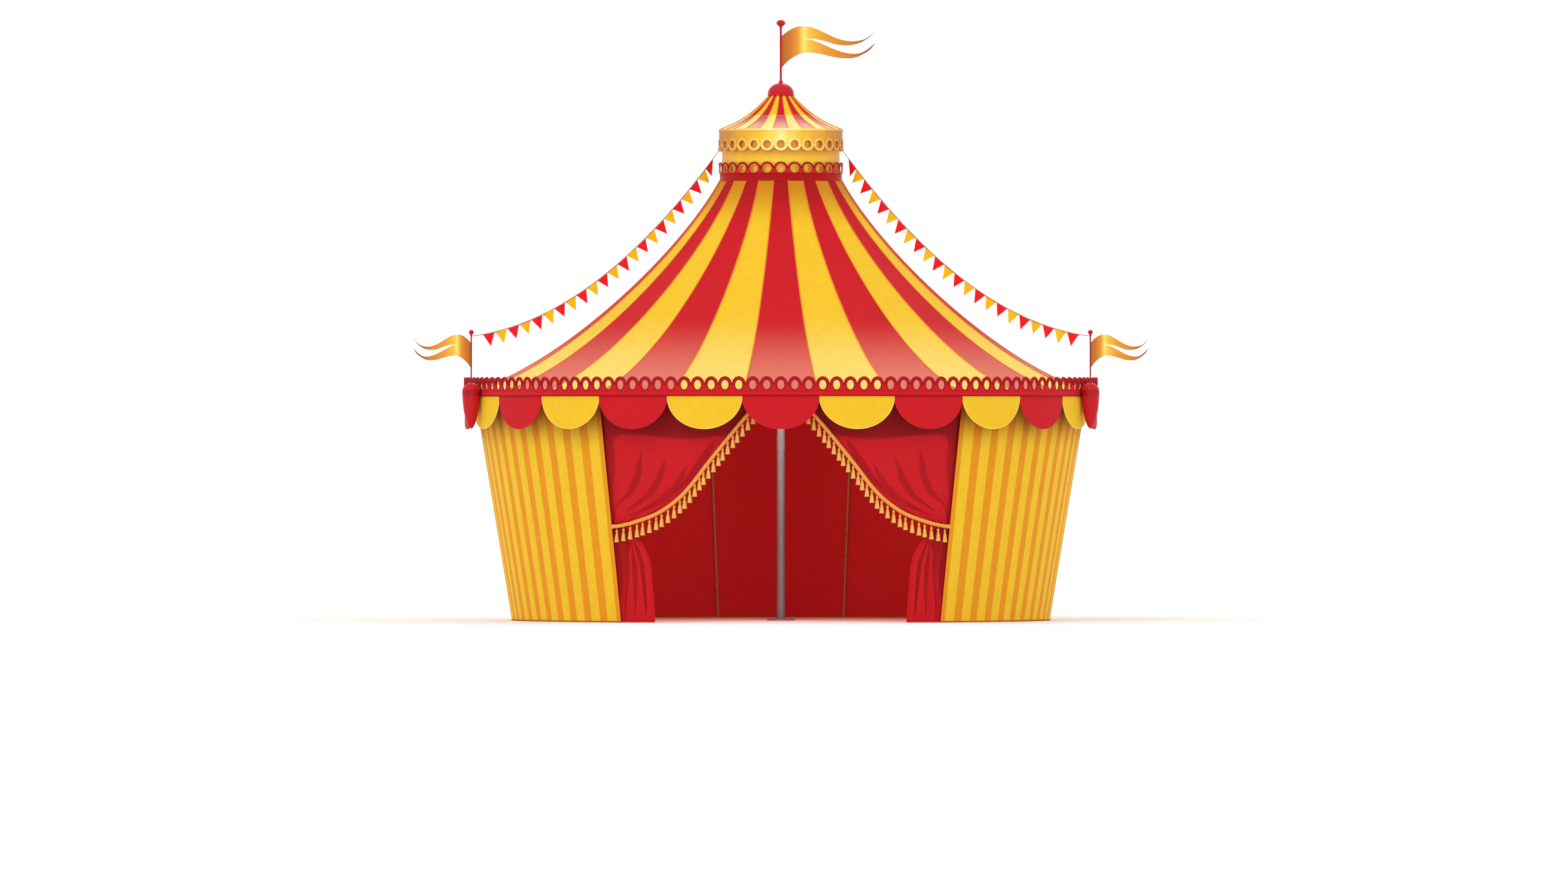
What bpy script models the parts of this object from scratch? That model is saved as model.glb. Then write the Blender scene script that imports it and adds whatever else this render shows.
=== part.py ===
"""A round, striped circus big top: a concave roof on a king pole, a drum and a
small cone roof above it, an eave band with scalloped valance, leaning side
walls with a curtained doorway, flags and two strands of bunting.

Metres, +Z up. The origin is on the ground at the foot of the king pole, the
doorway faces -Y, and azimuths are degrees from -Y towards +X.
"""

import math

import bmesh
import bpy
from mathutils import Vector

# Clearance between neighbouring pieces, and the height of the ground.
GAP = 0.0003
GROUND_Z = 0.0

# The plan: 26 roof gores, sewn in pairs, and two facets to a gore.
GORES = 26
FACETS_PER_GORE = 2
GORES_PER_SECTION = 2

# Main roof, from the crown ring down to the eave.
CANVAS_T = 0.015
CROWN_Z = 9.716
CROWN_INSET = 0.006
EAVE_INSET = 0.002
EAVE_Z = 5.035
ROOF_TOP_PULL = (0.896, -1.642)
ROOF_EAVE_PULL = (-1.942, 0.451)
ROOF_POINTS = 10

# Eave band with its row of small lobes, and the scalloped valance behind it.
BAND_R = 7.0
BAND_T = 0.015
BAND_LOW_Z = 4.954
BAND_H = 0.14
CREST_COUNT = 144
CREST_H = 0.285
VALANCE_T = 0.008
VALANCE_DROP = 0.714
VALANCE_TOP_Z = 5.015

# Side wall: an upside-down cone, open over the doorway.
WALL_FOOT_R = 5.954
WALL_SLOPE = 0.165
WALL_T = 0.012
WALL_TOP_Z = 4.90
WALL_PANELS = 6
WALL_FACETS = 7
DOOR_HALF_DEG = 36.0

# Eave ring beam and the side poles under it.
BEAM_W = 0.14
BEAM_OUT = 0.03
POLE_R = 0.03
POLE_BACK = 0.06
SIDE_POLE_STEPS = (2, 3, 4, 5, 6)
SIDE_POLE_PITCH_DEG = 360.0 / 13

# King pole, base plate and crown ring.
KING_R = 0.09
BASE_W = 0.60
BASE_T = 0.03
RING_W = 0.12
RING_H = 0.12
HUB_R = 0.16
SPOKES = 6
SPOKE_R = 0.03

# Drum: cylinder, collar and two lobed bands.
DRUM_R = 1.30
DRUM_T = 0.02
BAND_BAYS = 28
DRUM_BAND_OUT = 0.065
DRUM_BAND_T = 0.015
COLLAR_H = 0.172
LOWER_CREST_H = 0.244
LOWER_HOLE_UP = 0.103
LOWER_HOLE_R = 0.087
UPPER_BAND_H = 0.325
UPPER_LOBE_H = 0.142
UPPER_HOLE_R = 0.082

# Small cone roof and the dome cap on it.
CONE_TOP_R = 0.263
CONE_TOP_Z = 11.62
CONE_RIM_Z = 10.864
CONE_TOP_PULL = (0.358, -0.394)
CONE_RIM_PULL = (-0.503, 0.194)
CONE_POINTS = 8
CAP_R = 0.297
CAP_H = 0.276
CAP_LIP_H = 0.05

# Flagpoles, knobs and flags.
MAIN_POLE_R = 0.024
MAIN_POLE_TOP_Z = 13.15
MAIN_KNOB = (0.0985, 0.145)
END_POLE_R = 0.015
END_POLE_TOP_Z = 6.31
END_KNOB = (0.054, 0.108)
FLAG_T = 0.008
MAIN_FLAG_LOW_Z = 12.245
MAIN_FLAG_HOIST = 0.698
MAIN_FLAG_REACH = 2.08
END_FLAG_LOW_Z = 5.589
END_FLAG_HOIST = 0.555
END_FLAG_REACH = 1.27

# Corner ornaments on the outside of the eave band.
ORNAMENT_R = 0.195
ORNAMENT_BAY = 28.5
ORNAMENT_TOP_Z = 5.257
ORNAMENT_RIM_Z = 5.07
ORNAMENT_TIP_Z = 4.24
ORNAMENT_STEPS = 16

# Doorway: posts, curved rail, curtains with rope and tassels.
DOOR_POST_DEG = 36.9
DOOR_POST_R = 0.035
RAIL_R = 0.03
RAIL_Z = 4.83
CURTAIN_BACK = 0.085
CURTAIN_T = 0.03
CURTAIN_OUT_DEG = 36.1
CURTAIN_EDGE = ((0.50, RAIL_Z - RAIL_R - GAP), (1.05, 4.15), (1.617, 3.43), (1.95, 2.99), (2.25, 2.68),
                (2.65, 2.40), (3.10, 2.22), (3.42, 2.13), (3.30, 1.98), (3.12, 1.84),
                (2.95, 1.60), (2.84, 1.30), (2.80, 0.83), (2.76, 0.40), (2.74, 0.005))
CURTAIN_COLUMNS = 5
ROPE_POINTS = 8
ROPE_START = 0.1
ROPE_R = 0.042
ROPE_CLEAR = 0.002
TASSEL_PITCH = 0.17
TASSEL_H = 0.35
TASSEL_R = 0.05

# Bunting strands from the drum to the end flagpoles.
LINE_R = 0.006
LINE_START_Z = 10.41
LINE_SAG = 0.85
LINE_POINTS = 30
PENNANT_W = 0.26
PENNANT_H = 0.29
PENNANT_PITCH = 0.30
PENNANT_T = 0.004
TAPE_H = 0.02

# Shares of a bay's width at which a lobe's outline has its points.
ROUND_LOBE = (1.0, 0.85, 0.5, 0.15, 0.0)
BLUNT_LOBE = (1.0, 0.8, 0.2, 0.0)

PARTS = "circus_big_top"
RED = (0.617, 0.016, 0.022)
YELLOW = (0.930, 0.584, 0.036)
ORANGE = (0.847, 0.376, 0.018)
GOLD = (0.82, 0.50, 0.08)
STEEL = (0.35, 0.35, 0.36)
TIMBER = (0.45, 0.28, 0.14)


def collection(name):
    """A new collection under the scene's own one."""
    found = bpy.data.collections.new(name)
    bpy.context.scene.collection.children.link(found)
    return found


def material(name, colour, roughness=0.7, metallic=0.0):
    """A plain Principled material."""
    made = bpy.data.materials.new(name)
    made.use_nodes = True
    shader = made.node_tree.nodes["Principled BSDF"]
    shader.inputs["Base Color"].default_value = (*colour, 1.0)
    shader.inputs["Roughness"].default_value = roughness
    shader.inputs["Metallic"].default_value = metallic
    return made


def add(name, bm, finish, where):
    """The bmesh as one named object with smooth round faces."""
    bmesh.ops.recalc_face_normals(bm, faces=bm.faces)
    mesh = bpy.data.meshes.new(name)
    bm.to_mesh(mesh)
    bm.free()
    mesh.shade_smooth()
    mesh.set_sharp_from_angle(angle=math.radians(40))
    obj = bpy.data.objects.new(name, mesh)
    where.objects.link(obj)
    obj.data.materials.append(finish)
    return obj


def polar(radius, degrees, height):
    """A point at an azimuth counted from -Y towards +X."""
    angle = math.radians(degrees)
    return Vector((radius * math.sin(angle), -radius * math.cos(angle), height))


def thicken(obj, thickness, side):
    """Solidify a sheet: side -1 grows inwards, 1 outwards, 0 both ways."""
    shell = obj.modifiers.new("Thickness", "SOLIDIFY")
    shell.thickness = thickness
    shell.offset = side
    return obj


def turned(name, profile, steps, finish, where):
    """A closed ring or a solid turned about Z from (radius, height) points."""
    mesh = bpy.data.meshes.new(name)
    closed = profile[0][0] > 0
    edges = [(i, i + 1) for i in range(len(profile) - 1)]
    if closed:
        edges.append((len(profile) - 1, 0))
    mesh.from_pydata([(r, 0.0, z) for r, z in profile], edges, [])
    obj = bpy.data.objects.new(name, mesh)
    where.objects.link(obj)
    screw = obj.modifiers.new("Turn", "SCREW")
    screw.steps = steps
    screw.render_steps = steps
    screw.use_merge_vertices = True
    screw.merge_threshold = 0.00001
    obj.data.materials.append(finish)
    return obj


def sector(name, section, start, sweep, steps, finish, where):
    """A closed section of (radius, height) points swept round Z through an angle.

    Both end faces stand back by half the clearance, so that two neighbours
    that share an azimuth do not meet.
    """
    bm = bmesh.new()
    rim = [bm.verts.new(polar(r, start, z)) for r, z in section]
    face = bm.faces.new(rim)
    bmesh.ops.spin(bm, geom=[face, *face.edges, *rim], cent=(0, 0, 0), axis=(0, 0, 1),
                   angle=math.radians(sweep), steps=steps, use_duplicate=False)
    for end, away in ((start, 1), (start + sweep, -1)):
        across = polar(1.0, end + 90 * away, 0.0)
        inward = polar(1.0, end, 0.0)
        for vert in bm.verts:
            flat = Vector((vert.co.x, vert.co.y, 0.0))
            if flat.dot(inward) > 0 and abs(flat.dot(across)) < GAP / 4:
                vert.co += across * GAP / 2
    return add(name, bm, finish, where)


def leaning_post(radius, degrees, foot_r, lean, low, high, sides=8):
    """A bmesh post whose axis leans outwards, with level ends."""
    bm = bmesh.new()
    made = bmesh.ops.create_cone(bm, cap_ends=True, segments=sides, radius1=radius,
                                 radius2=radius, depth=high - low)
    out = polar(1.0, degrees, 0.0)
    for vert in made["verts"]:
        vert.co.z += (high + low) / 2
        vert.co += out * (foot_r + lean * vert.co.z)
    return bm


def joined(objects, target):
    """Unite the target with the other objects by exact Booleans."""
    for cutter in objects:
        cutter.hide_render = True
        cutter.display_type = "WIRE"
        union = target.modifiers.new("Join", "BOOLEAN")
        union.operation = "UNION"
        union.solver = "EXACT"
        union.object = cutter
    return target


def cubic(start, start_pull, end, end_pull, count):
    """Points along a cubic curve between two (radius, height) points."""
    a = Vector(start)
    d = Vector(end)
    b = a + Vector(start_pull)
    c = d + Vector(end_pull)
    points = []
    for i in range(count):
        t = i / (count - 1)
        u = 1 - t
        points.append(u**3 * a + 3 * u * u * t * b + 3 * u * t * t * c + t**3 * d)
    return points


def drum_band_radius():
    """The outer radius of the drum's two bands."""
    return DRUM_R + DRUM_BAND_OUT


def roof_curve():
    """The outer line of the main roof, from under the drum to the eave band."""
    eave = BAND_R - BAND_T - EAVE_INSET
    return cubic((drum_band_radius() - CROWN_INSET, CROWN_Z), ROOF_TOP_PULL,
                 (eave, EAVE_Z), ROOF_EAVE_PULL, ROOF_POINTS)


def cone_curve():
    """The outer line of the small cone roof, from the cap to over the drum's band."""
    return cubic((CONE_TOP_R, CONE_TOP_Z), CONE_TOP_PULL,
                 (drum_band_radius(), CONE_RIM_Z), CONE_RIM_PULL, CONE_POINTS)


def inner_line(points, thickness):
    """The line a thickness below and inside another, with level ends kept in radius."""
    inner = []
    for i, point in enumerate(points):
        before = points[max(i - 1, 0)]
        after = points[min(i + 1, len(points) - 1)]
        along = (after - before).normalized()
        inner.append(point + Vector((along.y, -along.x)) * thickness)
    return inner


def height_on(line, radius):
    """The height of a polyline of (radius, height) points at a radius."""
    for a, b in zip(line, line[1:]):
        if a.x <= radius <= b.x:
            return a.y + (b.y - a.y) * (radius - a.x) / (b.x - a.x)
    raise ValueError(f"radius {radius} is off the line")


def wall_radius(height):
    """The outer radius of the side wall."""
    return WALL_FOOT_R + WALL_SLOPE * (height - GROUND_Z)


def build_roof(canvas, where):
    """Thirteen roof sections, each of two gores."""
    outer = roof_curve()
    inner = inner_line(outer, CANVAS_T)
    section = [(p.x, p.y) for p in outer] + [(p.x, p.y) for p in reversed(inner)]
    gore = 360.0 / GORES
    count = GORES // GORES_PER_SECTION
    for index in range(count):
        start = gore * (GORES_PER_SECTION * index - 0.5)
        sector(f"roof_section_{index + 1:02d}", section, start, gore * GORES_PER_SECTION,
               FACETS_PER_GORE * GORES_PER_SECTION, canvas[index % 2], where)
    return inner


def build_walls(canvas, where):
    """Leaning wall panels from one door jamb round to the other."""
    low = GROUND_Z
    section = [(wall_radius(low), low), (wall_radius(WALL_TOP_Z), WALL_TOP_Z - GAP),
               (wall_radius(WALL_TOP_Z) - WALL_T, WALL_TOP_Z - GAP),
               (wall_radius(low) - WALL_T, low)]
    sweep = (360.0 - 2 * DOOR_HALF_DEG) / WALL_PANELS
    for index in range(WALL_PANELS):
        sector(f"wall_panel_{index + 1}", section, DOOR_HALF_DEG + sweep * index, sweep,
               WALL_FACETS, canvas, where)


def lobed_ring(name, radius, bays, low, level, top, thickness, finish, where,
               lobe=ROUND_LOBE, upside_down=False):
    """A thin round band with a half-round lobe over, or under, each bay."""
    bm = bmesh.new()
    pitch = 360.0 / bays
    for bay in range(bays):
        left = pitch * (bay - 0.5)
        ends = (polar(radius, left, 0.0), polar(radius, left + pitch, 0.0))
        outline = [(0.0, low), (1.0, low)]
        for t in lobe:
            lift = math.sqrt(max(0.0, 1 - (2 * t - 1) ** 2))
            outline.append((t, level + (top - level) * lift))
        if upside_down:
            outline = [(t, -z) for t, z in reversed(outline)]
        corners = []
        for t, height in outline:
            spot = ends[0].lerp(ends[1], t)
            corners.append(bm.verts.new((spot.x, spot.y, height)))
        bm.faces.new(corners)
    bmesh.ops.remove_doubles(bm, verts=bm.verts, dist=0.00005)
    return thicken(add(name, bm, finish, where), thickness, -1)


def pierce(obj, radius, bays, height, hole_r, cutters):
    """Cut one round hole through each bay of a lobed ring."""
    bm = bmesh.new()
    for bay in range(bays):
        spot = polar(radius, 360.0 * bay / bays, height)
        made = bmesh.ops.create_cone(bm, cap_ends=True, segments=8, radius1=hole_r,
                                     radius2=hole_r, depth=0.12)
        turn = Vector((0, 0, 1)).rotation_difference(Vector((spot.x, spot.y, 0.0)))
        bmesh.ops.rotate(bm, verts=made["verts"], cent=(0, 0, 0), matrix=turn.to_matrix())
        bmesh.ops.translate(bm, verts=made["verts"], vec=spot)
    cutter = add(f"{obj.name}_holes", bm, obj.data.materials[0], cutters)
    cutter.hide_render = True
    cutter.display_type = "WIRE"
    cut = obj.modifiers.new("Holes", "BOOLEAN")
    cut.operation = "DIFFERENCE"
    cut.solver = "EXACT"
    cut.object = cutter


def build_eave(red, where):
    """The lobed eave band and the scalloped valance behind it."""
    lobed_ring("eave_band", BAND_R, CREST_COUNT, BAND_LOW_Z, BAND_LOW_Z + BAND_H,
               BAND_LOW_Z + BAND_H + CREST_H, BAND_T, red, where, lobe=BLUNT_LOBE)
    steps = 6
    columns = GORES * steps
    bm = bmesh.new()
    bmesh.ops.create_grid(bm, x_segments=columns, y_segments=1, size=0.5)
    radius = (BAND_R - BAND_T) * math.cos(math.pi / CREST_COUNT) - GAP
    for vert in bm.verts:
        share = vert.co.x + 0.5
        in_scallop = (share * GORES) % 1.0
        near = min(in_scallop, 1 - in_scallop)
        low = BAND_LOW_Z - VALANCE_DROP * math.sqrt(max(0.0, 1 - (1 - 2 * near) ** 2))
        height = VALANCE_TOP_Z if vert.co.y > 0 else low
        vert.co = polar(radius, 360.0 * share - 180.0 / GORES, height)
    bmesh.ops.remove_doubles(bm, verts=bm.verts, dist=0.0001)
    bmesh.ops.recalc_face_normals(bm, faces=bm.faces)
    thicken(add("valance", bm, red, where), VALANCE_T, -1)


def build_frame(steel, timber, roof_inner, where, cutters):
    """King pole, crown ring, and the eave ring beam on its side poles."""
    turned("king_pole", [(0.0, CONE_TOP_Z), (KING_R, CONE_TOP_Z), (KING_R, GROUND_Z + BASE_T),
                         (BASE_W / 2, GROUND_Z + BASE_T), (BASE_W / 2, GROUND_Z),
                         (0.0, GROUND_Z)], 16, steel, where)

    facets = GORES * FACETS_PER_GORE
    ring_top = CROWN_Z - GAP
    ring_out = roof_inner[0].x - 0.012
    low_out = ring_out
    section = [(ring_out - RING_W, ring_top), (ring_out, ring_top),
               (low_out, ring_top - RING_H), (ring_out - RING_W, ring_top - RING_H)]
    ring = turned("crown_ring", section, facets, steel, where)
    mid = ring_top - RING_H / 2
    hub = turned("crown_hub", [(KING_R + GAP, mid + 0.05), (HUB_R, mid + 0.05),
                               (HUB_R, mid - 0.05), (KING_R + GAP, mid - 0.05)],
                 16, steel, cutters)
    bm = bmesh.new()
    for index in range(SPOKES):
        inner = HUB_R - 0.02
        outer = ring_out - RING_W + 0.02
        made = bmesh.ops.create_cone(bm, cap_ends=True, segments=6, radius1=SPOKE_R,
                                     radius2=SPOKE_R, depth=outer - inner)
        centre = polar((inner + outer) / 2, 360.0 * (index + 0.5) / SPOKES, 0.0)
        turn = Vector((0, 0, 1)).rotation_difference(centre)
        bmesh.ops.rotate(bm, verts=made["verts"], cent=(0, 0, 0), matrix=turn.to_matrix())
        bmesh.ops.translate(bm, verts=made["verts"], vec=centre + Vector((0, 0, mid)))
    spokes = add("crown_spokes", bm, steel, cutters)
    joined([spokes, hub], ring)

    out = wall_radius(WALL_TOP_Z) + BEAM_OUT
    inside = out - BEAM_W
    top_gap = 2 * GAP
    beam = turned("eave_frame", [(inside, height_on(roof_inner, inside) - top_gap),
                                 (out, height_on(roof_inner, out) - top_gap),
                                 (out, WALL_TOP_Z), (inside, WALL_TOP_Z)],
                  facets, timber, where)
    poles = bmesh.new()
    foot = WALL_FOOT_R - WALL_T - POLE_BACK
    for side in (-1, 1):
        for step in SIDE_POLE_STEPS:
            one = leaning_post(POLE_R, side * step * SIDE_POLE_PITCH_DEG, foot, WALL_SLOPE,
                               GROUND_Z, WALL_TOP_Z + 0.04)
            mesh = bpy.data.meshes.new("pole")
            one.to_mesh(mesh)
            one.free()
            poles.from_mesh(mesh)
            bpy.data.meshes.remove(mesh)
    side_poles = add("side_poles", poles, timber, cutters)
    joined([side_poles], beam)


def build_drum(red, gold, where, cutters):
    """Drum cylinder, collar, its two pierced bands, cone roof and dome cap."""
    foot = CROWN_Z + GAP
    line = cone_curve()
    underside = inner_line(line, CANVAS_T)
    band_r = drum_band_radius()
    drum_top = height_on(underside, DRUM_R / math.cos(math.pi / GORES)) - 2 * GAP
    turned("drum_cylinder", [(DRUM_R - DRUM_T, drum_top), (DRUM_R, drum_top),
                             (DRUM_R, foot), (DRUM_R - DRUM_T, foot)], BAND_BAYS, gold, where)
    collar_top = foot + COLLAR_H
    turned("drum_collar", [(DRUM_R + GAP, collar_top), (band_r, collar_top),
                           (band_r, foot), (DRUM_R + GAP, foot)], BAND_BAYS, red, where)
    low = collar_top + GAP
    lower = lobed_ring("drum_lower_band", band_r, BAND_BAYS, low, low + LOWER_HOLE_UP,
                       low + LOWER_CREST_H, DRUM_BAND_T, red, where)
    pierce(lower, band_r, BAND_BAYS, low + LOWER_HOLE_UP, LOWER_HOLE_R, cutters)
    top = underside[-1].y - 2 * GAP
    level = top - UPPER_BAND_H
    upper = lobed_ring("drum_upper_band", band_r, BAND_BAYS, -top, -level,
                       UPPER_LOBE_H - level, DRUM_BAND_T, gold, where, upside_down=True)
    pierce(upper, band_r, BAND_BAYS, level, UPPER_HOLE_R, cutters)
    section = [(p.x, p.y) for p in line] + [(p.x, p.y) for p in reversed(underside)]
    turned("cone_roof", section, GORES, red, where)
    seat = CONE_TOP_Z + GAP
    cap = [(0.0, seat + CAP_H), (0.10, seat + CAP_H * 0.95), (0.19, seat + CAP_H * 0.78),
           (0.25, seat + CAP_H * 0.5), (0.268, seat + CAP_LIP_H), (CAP_R, seat + 0.02),
           (CAP_R, seat), (0.0, seat)]
    turned("dome_cap", cap, 16, red, where)
    return seat + CAP_H


def flag_outline():
    """Corner points of a swallow-tailed flag, in hoist heights out and up."""
    return [(0.0, 0.0), (0.21, 0.21), (0.47, 0.38), (0.94, 0.47), (1.73, 0.32), (2.31, 0.30),
            (2.57, 0.40), (3.02, 0.78), (2.57, 0.47), (2.20, 0.43), (1.78, 0.54), (1.39, 0.70),
            (0.99, 0.86), (0.73, 0.89), (1.39, 0.83), (1.78, 0.72), (2.18, 0.70), (2.52, 0.78),
            (3.03, 1.17), (2.63, 0.88), (2.20, 0.83), (1.78, 0.92), (1.39, 1.09), (0.99, 1.26),
            (0.71, 1.30), (0.47, 1.28), (0.21, 1.16), (0.0, 1.0)]


def build_flag(name, hoist, reach, low, pole_point, pole_r, side, finish, where):
    """A flat flag in the X-Z plane, its hoist edge beside the pole."""
    curve = bpy.data.curves.new(name, "CURVE")
    curve.dimensions = "2D"
    curve.fill_mode = "BOTH"
    curve.extrude = FLAG_T / 2
    outline = curve.splines.new("POLY")
    points = flag_outline()
    stretch = reach / max(out for out, _ in points)
    outline.points.add(len(points) - 1)
    for point, (out, up) in zip(outline.points, points):
        point.co = (side * out * stretch, up * hoist, 0.0, 1.0)
    outline.use_cyclic_u = True
    obj = bpy.data.objects.new(name, curve)
    where.objects.link(obj)
    obj.rotation_euler = (math.radians(90), 0.0, 0.0)
    obj.location = (pole_point.x + side * (pole_r + GAP), pole_point.y, low)
    obj.data.materials.append(finish)
    return obj


def build_flagpole(name, foot, pole_r, top, knob, finish, where):
    """A thin pole with a flattened ball on top."""
    knob_r, knob_h = knob
    profile = [(0.0, top - foot.z + knob_h)]
    for step in range(1, 6):
        angle = math.pi * step / 6
        profile.append((knob_r * math.sin(angle),
                        top - foot.z + knob_h * (1 + math.cos(angle)) / 2))
    profile += [(pole_r, top - foot.z + 0.002), (pole_r, 0.0), (0.0, 0.0)]
    obj = turned(name, profile, 10, finish, where)
    obj.location = foot
    return obj


def ornament_spot(side):
    """Where a corner ornament's axis stands, outside a joint of the eave band's bays."""
    return polar(BAND_R + ORNAMENT_R + GAP, side * ORNAMENT_BAY * 360.0 / CREST_COUNT, 0.0)


def build_ornament(side, label, red, where):
    """A dome over a pointed drop, seated against the eave band."""
    seat = ORNAMENT_RIM_Z
    top = ORNAMENT_TOP_Z
    profile = [(0.0, top)]
    for step in range(1, 5):
        angle = math.pi / 2 * step / 4
        profile.append((ORNAMENT_R * math.sin(angle), seat + (top - seat) * math.cos(angle)))
    drop = seat - ORNAMENT_TIP_Z
    for share, width in ((0.14, 1.0), (0.35, 0.93), (0.6, 0.70), (0.82, 0.38), (0.95, 0.13)):
        profile.append((ORNAMENT_R * width, seat - drop * share))
    profile.append((0.0, ORNAMENT_TIP_Z))
    obj = turned(f"corner_ornament_{label}", profile, ORNAMENT_STEPS, red, where)
    obj.location = ornament_spot(side)
    obj.rotation_euler.z = math.atan2(-obj.location.y, -obj.location.x)
    return obj


def curtain_radius(height):
    """The middle radius of the curtains, just inside the wall line."""
    return wall_radius(height) - CURTAIN_BACK


def edge_azimuth(out, height):
    """The azimuth at which the curtain surface has this X."""
    return math.degrees(math.asin(out / curtain_radius(height)))


def build_curtain(side, label, red, where):
    """A tied-back curtain half with its gathered tail, as one thick sheet."""
    bm = bmesh.new()
    rows = []
    for out, height in CURTAIN_EDGE:
        start = edge_azimuth(out, height)
        row = []
        for column in range(CURTAIN_COLUMNS + 1):
            share = column / CURTAIN_COLUMNS
            degrees = start + (CURTAIN_OUT_DEG - start) * share
            row.append(bm.verts.new(polar(curtain_radius(height), side * degrees, height)))
        rows.append(row)
    for upper, lower in zip(rows, rows[1:]):
        for k in range(CURTAIN_COLUMNS):
            bm.faces.new((upper[k], upper[k + 1], lower[k + 1], lower[k]))
    return thicken(add(f"curtain_{label}", bm, red, where), CURTAIN_T, 0)


def build_trim(side, label, gold, where, cutters):
    """The rope along a curtain's edge with its row of tassels."""
    route = []
    for out, height in CURTAIN_EDGE[:ROPE_POINTS]:
        radius = curtain_radius(height) + CURTAIN_T / 2 + ROPE_R + ROPE_CLEAR
        route.append(polar(radius, side * edge_azimuth(out, height), height))
    route[0] = route[0].lerp(route[1], ROPE_START)
    curve = bpy.data.curves.new("rope", "CURVE")
    curve.dimensions = "3D"
    curve.bevel_depth = ROPE_R
    curve.bevel_resolution = 1
    curve.use_fill_caps = True
    line = curve.splines.new("POLY")
    line.points.add(len(route) - 1)
    for point, spot in zip(line.points, route):
        point.co = (*spot, 1.0)
    bare = bpy.data.objects.new("rope", curve)
    where.objects.link(bare)
    bpy.context.view_layer.update()
    mesh = bpy.data.meshes.new_from_object(bare.evaluated_get(
        bpy.context.evaluated_depsgraph_get()))
    bm = bmesh.new()
    bm.from_mesh(mesh)
    bmesh.ops.remove_doubles(bm, verts=bm.verts, dist=0.0001)
    bpy.data.objects.remove(bare)
    rope = add(f"curtain_trim_{label}", bm, gold, where)

    tassels = bmesh.new()
    walked = TASSEL_PITCH / 2
    for a, b in zip(route, route[1:]):
        length = (b - a).length
        while walked < length:
            spot = a.lerp(b, walked / length)
            made = bmesh.ops.create_cone(tassels, cap_ends=True, segments=5,
                                         radius1=TASSEL_R, radius2=0.012, depth=TASSEL_H)
            bmesh.ops.translate(tassels, verts=made["verts"],
                                vec=spot - Vector((0, 0, TASSEL_H / 2)))
            walked += TASSEL_PITCH
        walked -= length
    row = add(f"tassels_{label}", tassels, gold, cutters)
    joined([row], rope)


def build_door_frame(steel, where, cutters):
    """Two leaning door posts and the curved curtain rail between them."""
    foot = WALL_FOOT_R - CURTAIN_BACK
    top = WALL_TOP_Z - GAP
    bm = bmesh.new()
    radius = curtain_radius(RAIL_Z)
    ring = []
    sides = 8
    for k in range(sides):
        angle = 2 * math.pi * k / sides
        ring.append(bm.verts.new(polar(radius + RAIL_R * math.cos(angle), -DOOR_POST_DEG,
                                       RAIL_Z + RAIL_R * math.sin(angle))))
    face = bm.faces.new(ring)
    bmesh.ops.spin(bm, geom=[face, *face.edges, *ring], cent=(0, 0, 0), axis=(0, 0, 1),
                   angle=math.radians(2 * DOOR_POST_DEG), steps=20, use_duplicate=False)
    rail = add("door_frame", bm, steel, where)
    posts = []
    for side in (-1, 1):
        post = leaning_post(DOOR_POST_R, side * DOOR_POST_DEG, foot, WALL_SLOPE, GROUND_Z, top)
        posts.append(add(f"door_post_{side}", post, steel, cutters))
    joined(posts, rail)


def strand(side):
    """Points of a bunting line, sagging from the drum to the end pole."""
    face = drum_band_radius() * math.cos(math.pi / BAND_BAYS)
    start = Vector((side * (face + LINE_R), 0.0, LINE_START_Z))
    pole = ornament_spot(side)
    end = Vector((pole.x, pole.y, END_POLE_TOP_Z - 0.03))
    way = (start - end)
    way.z = 0.0
    end += way.normalized() * (END_POLE_R + 3 * GAP)
    points = []
    for i in range(LINE_POINTS):
        t = i / (LINE_POINTS - 1)
        spot = start.lerp(end, t)
        spot.z -= 4 * LINE_SAG * t * (1 - t)
        points.append(spot)
    return points


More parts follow.
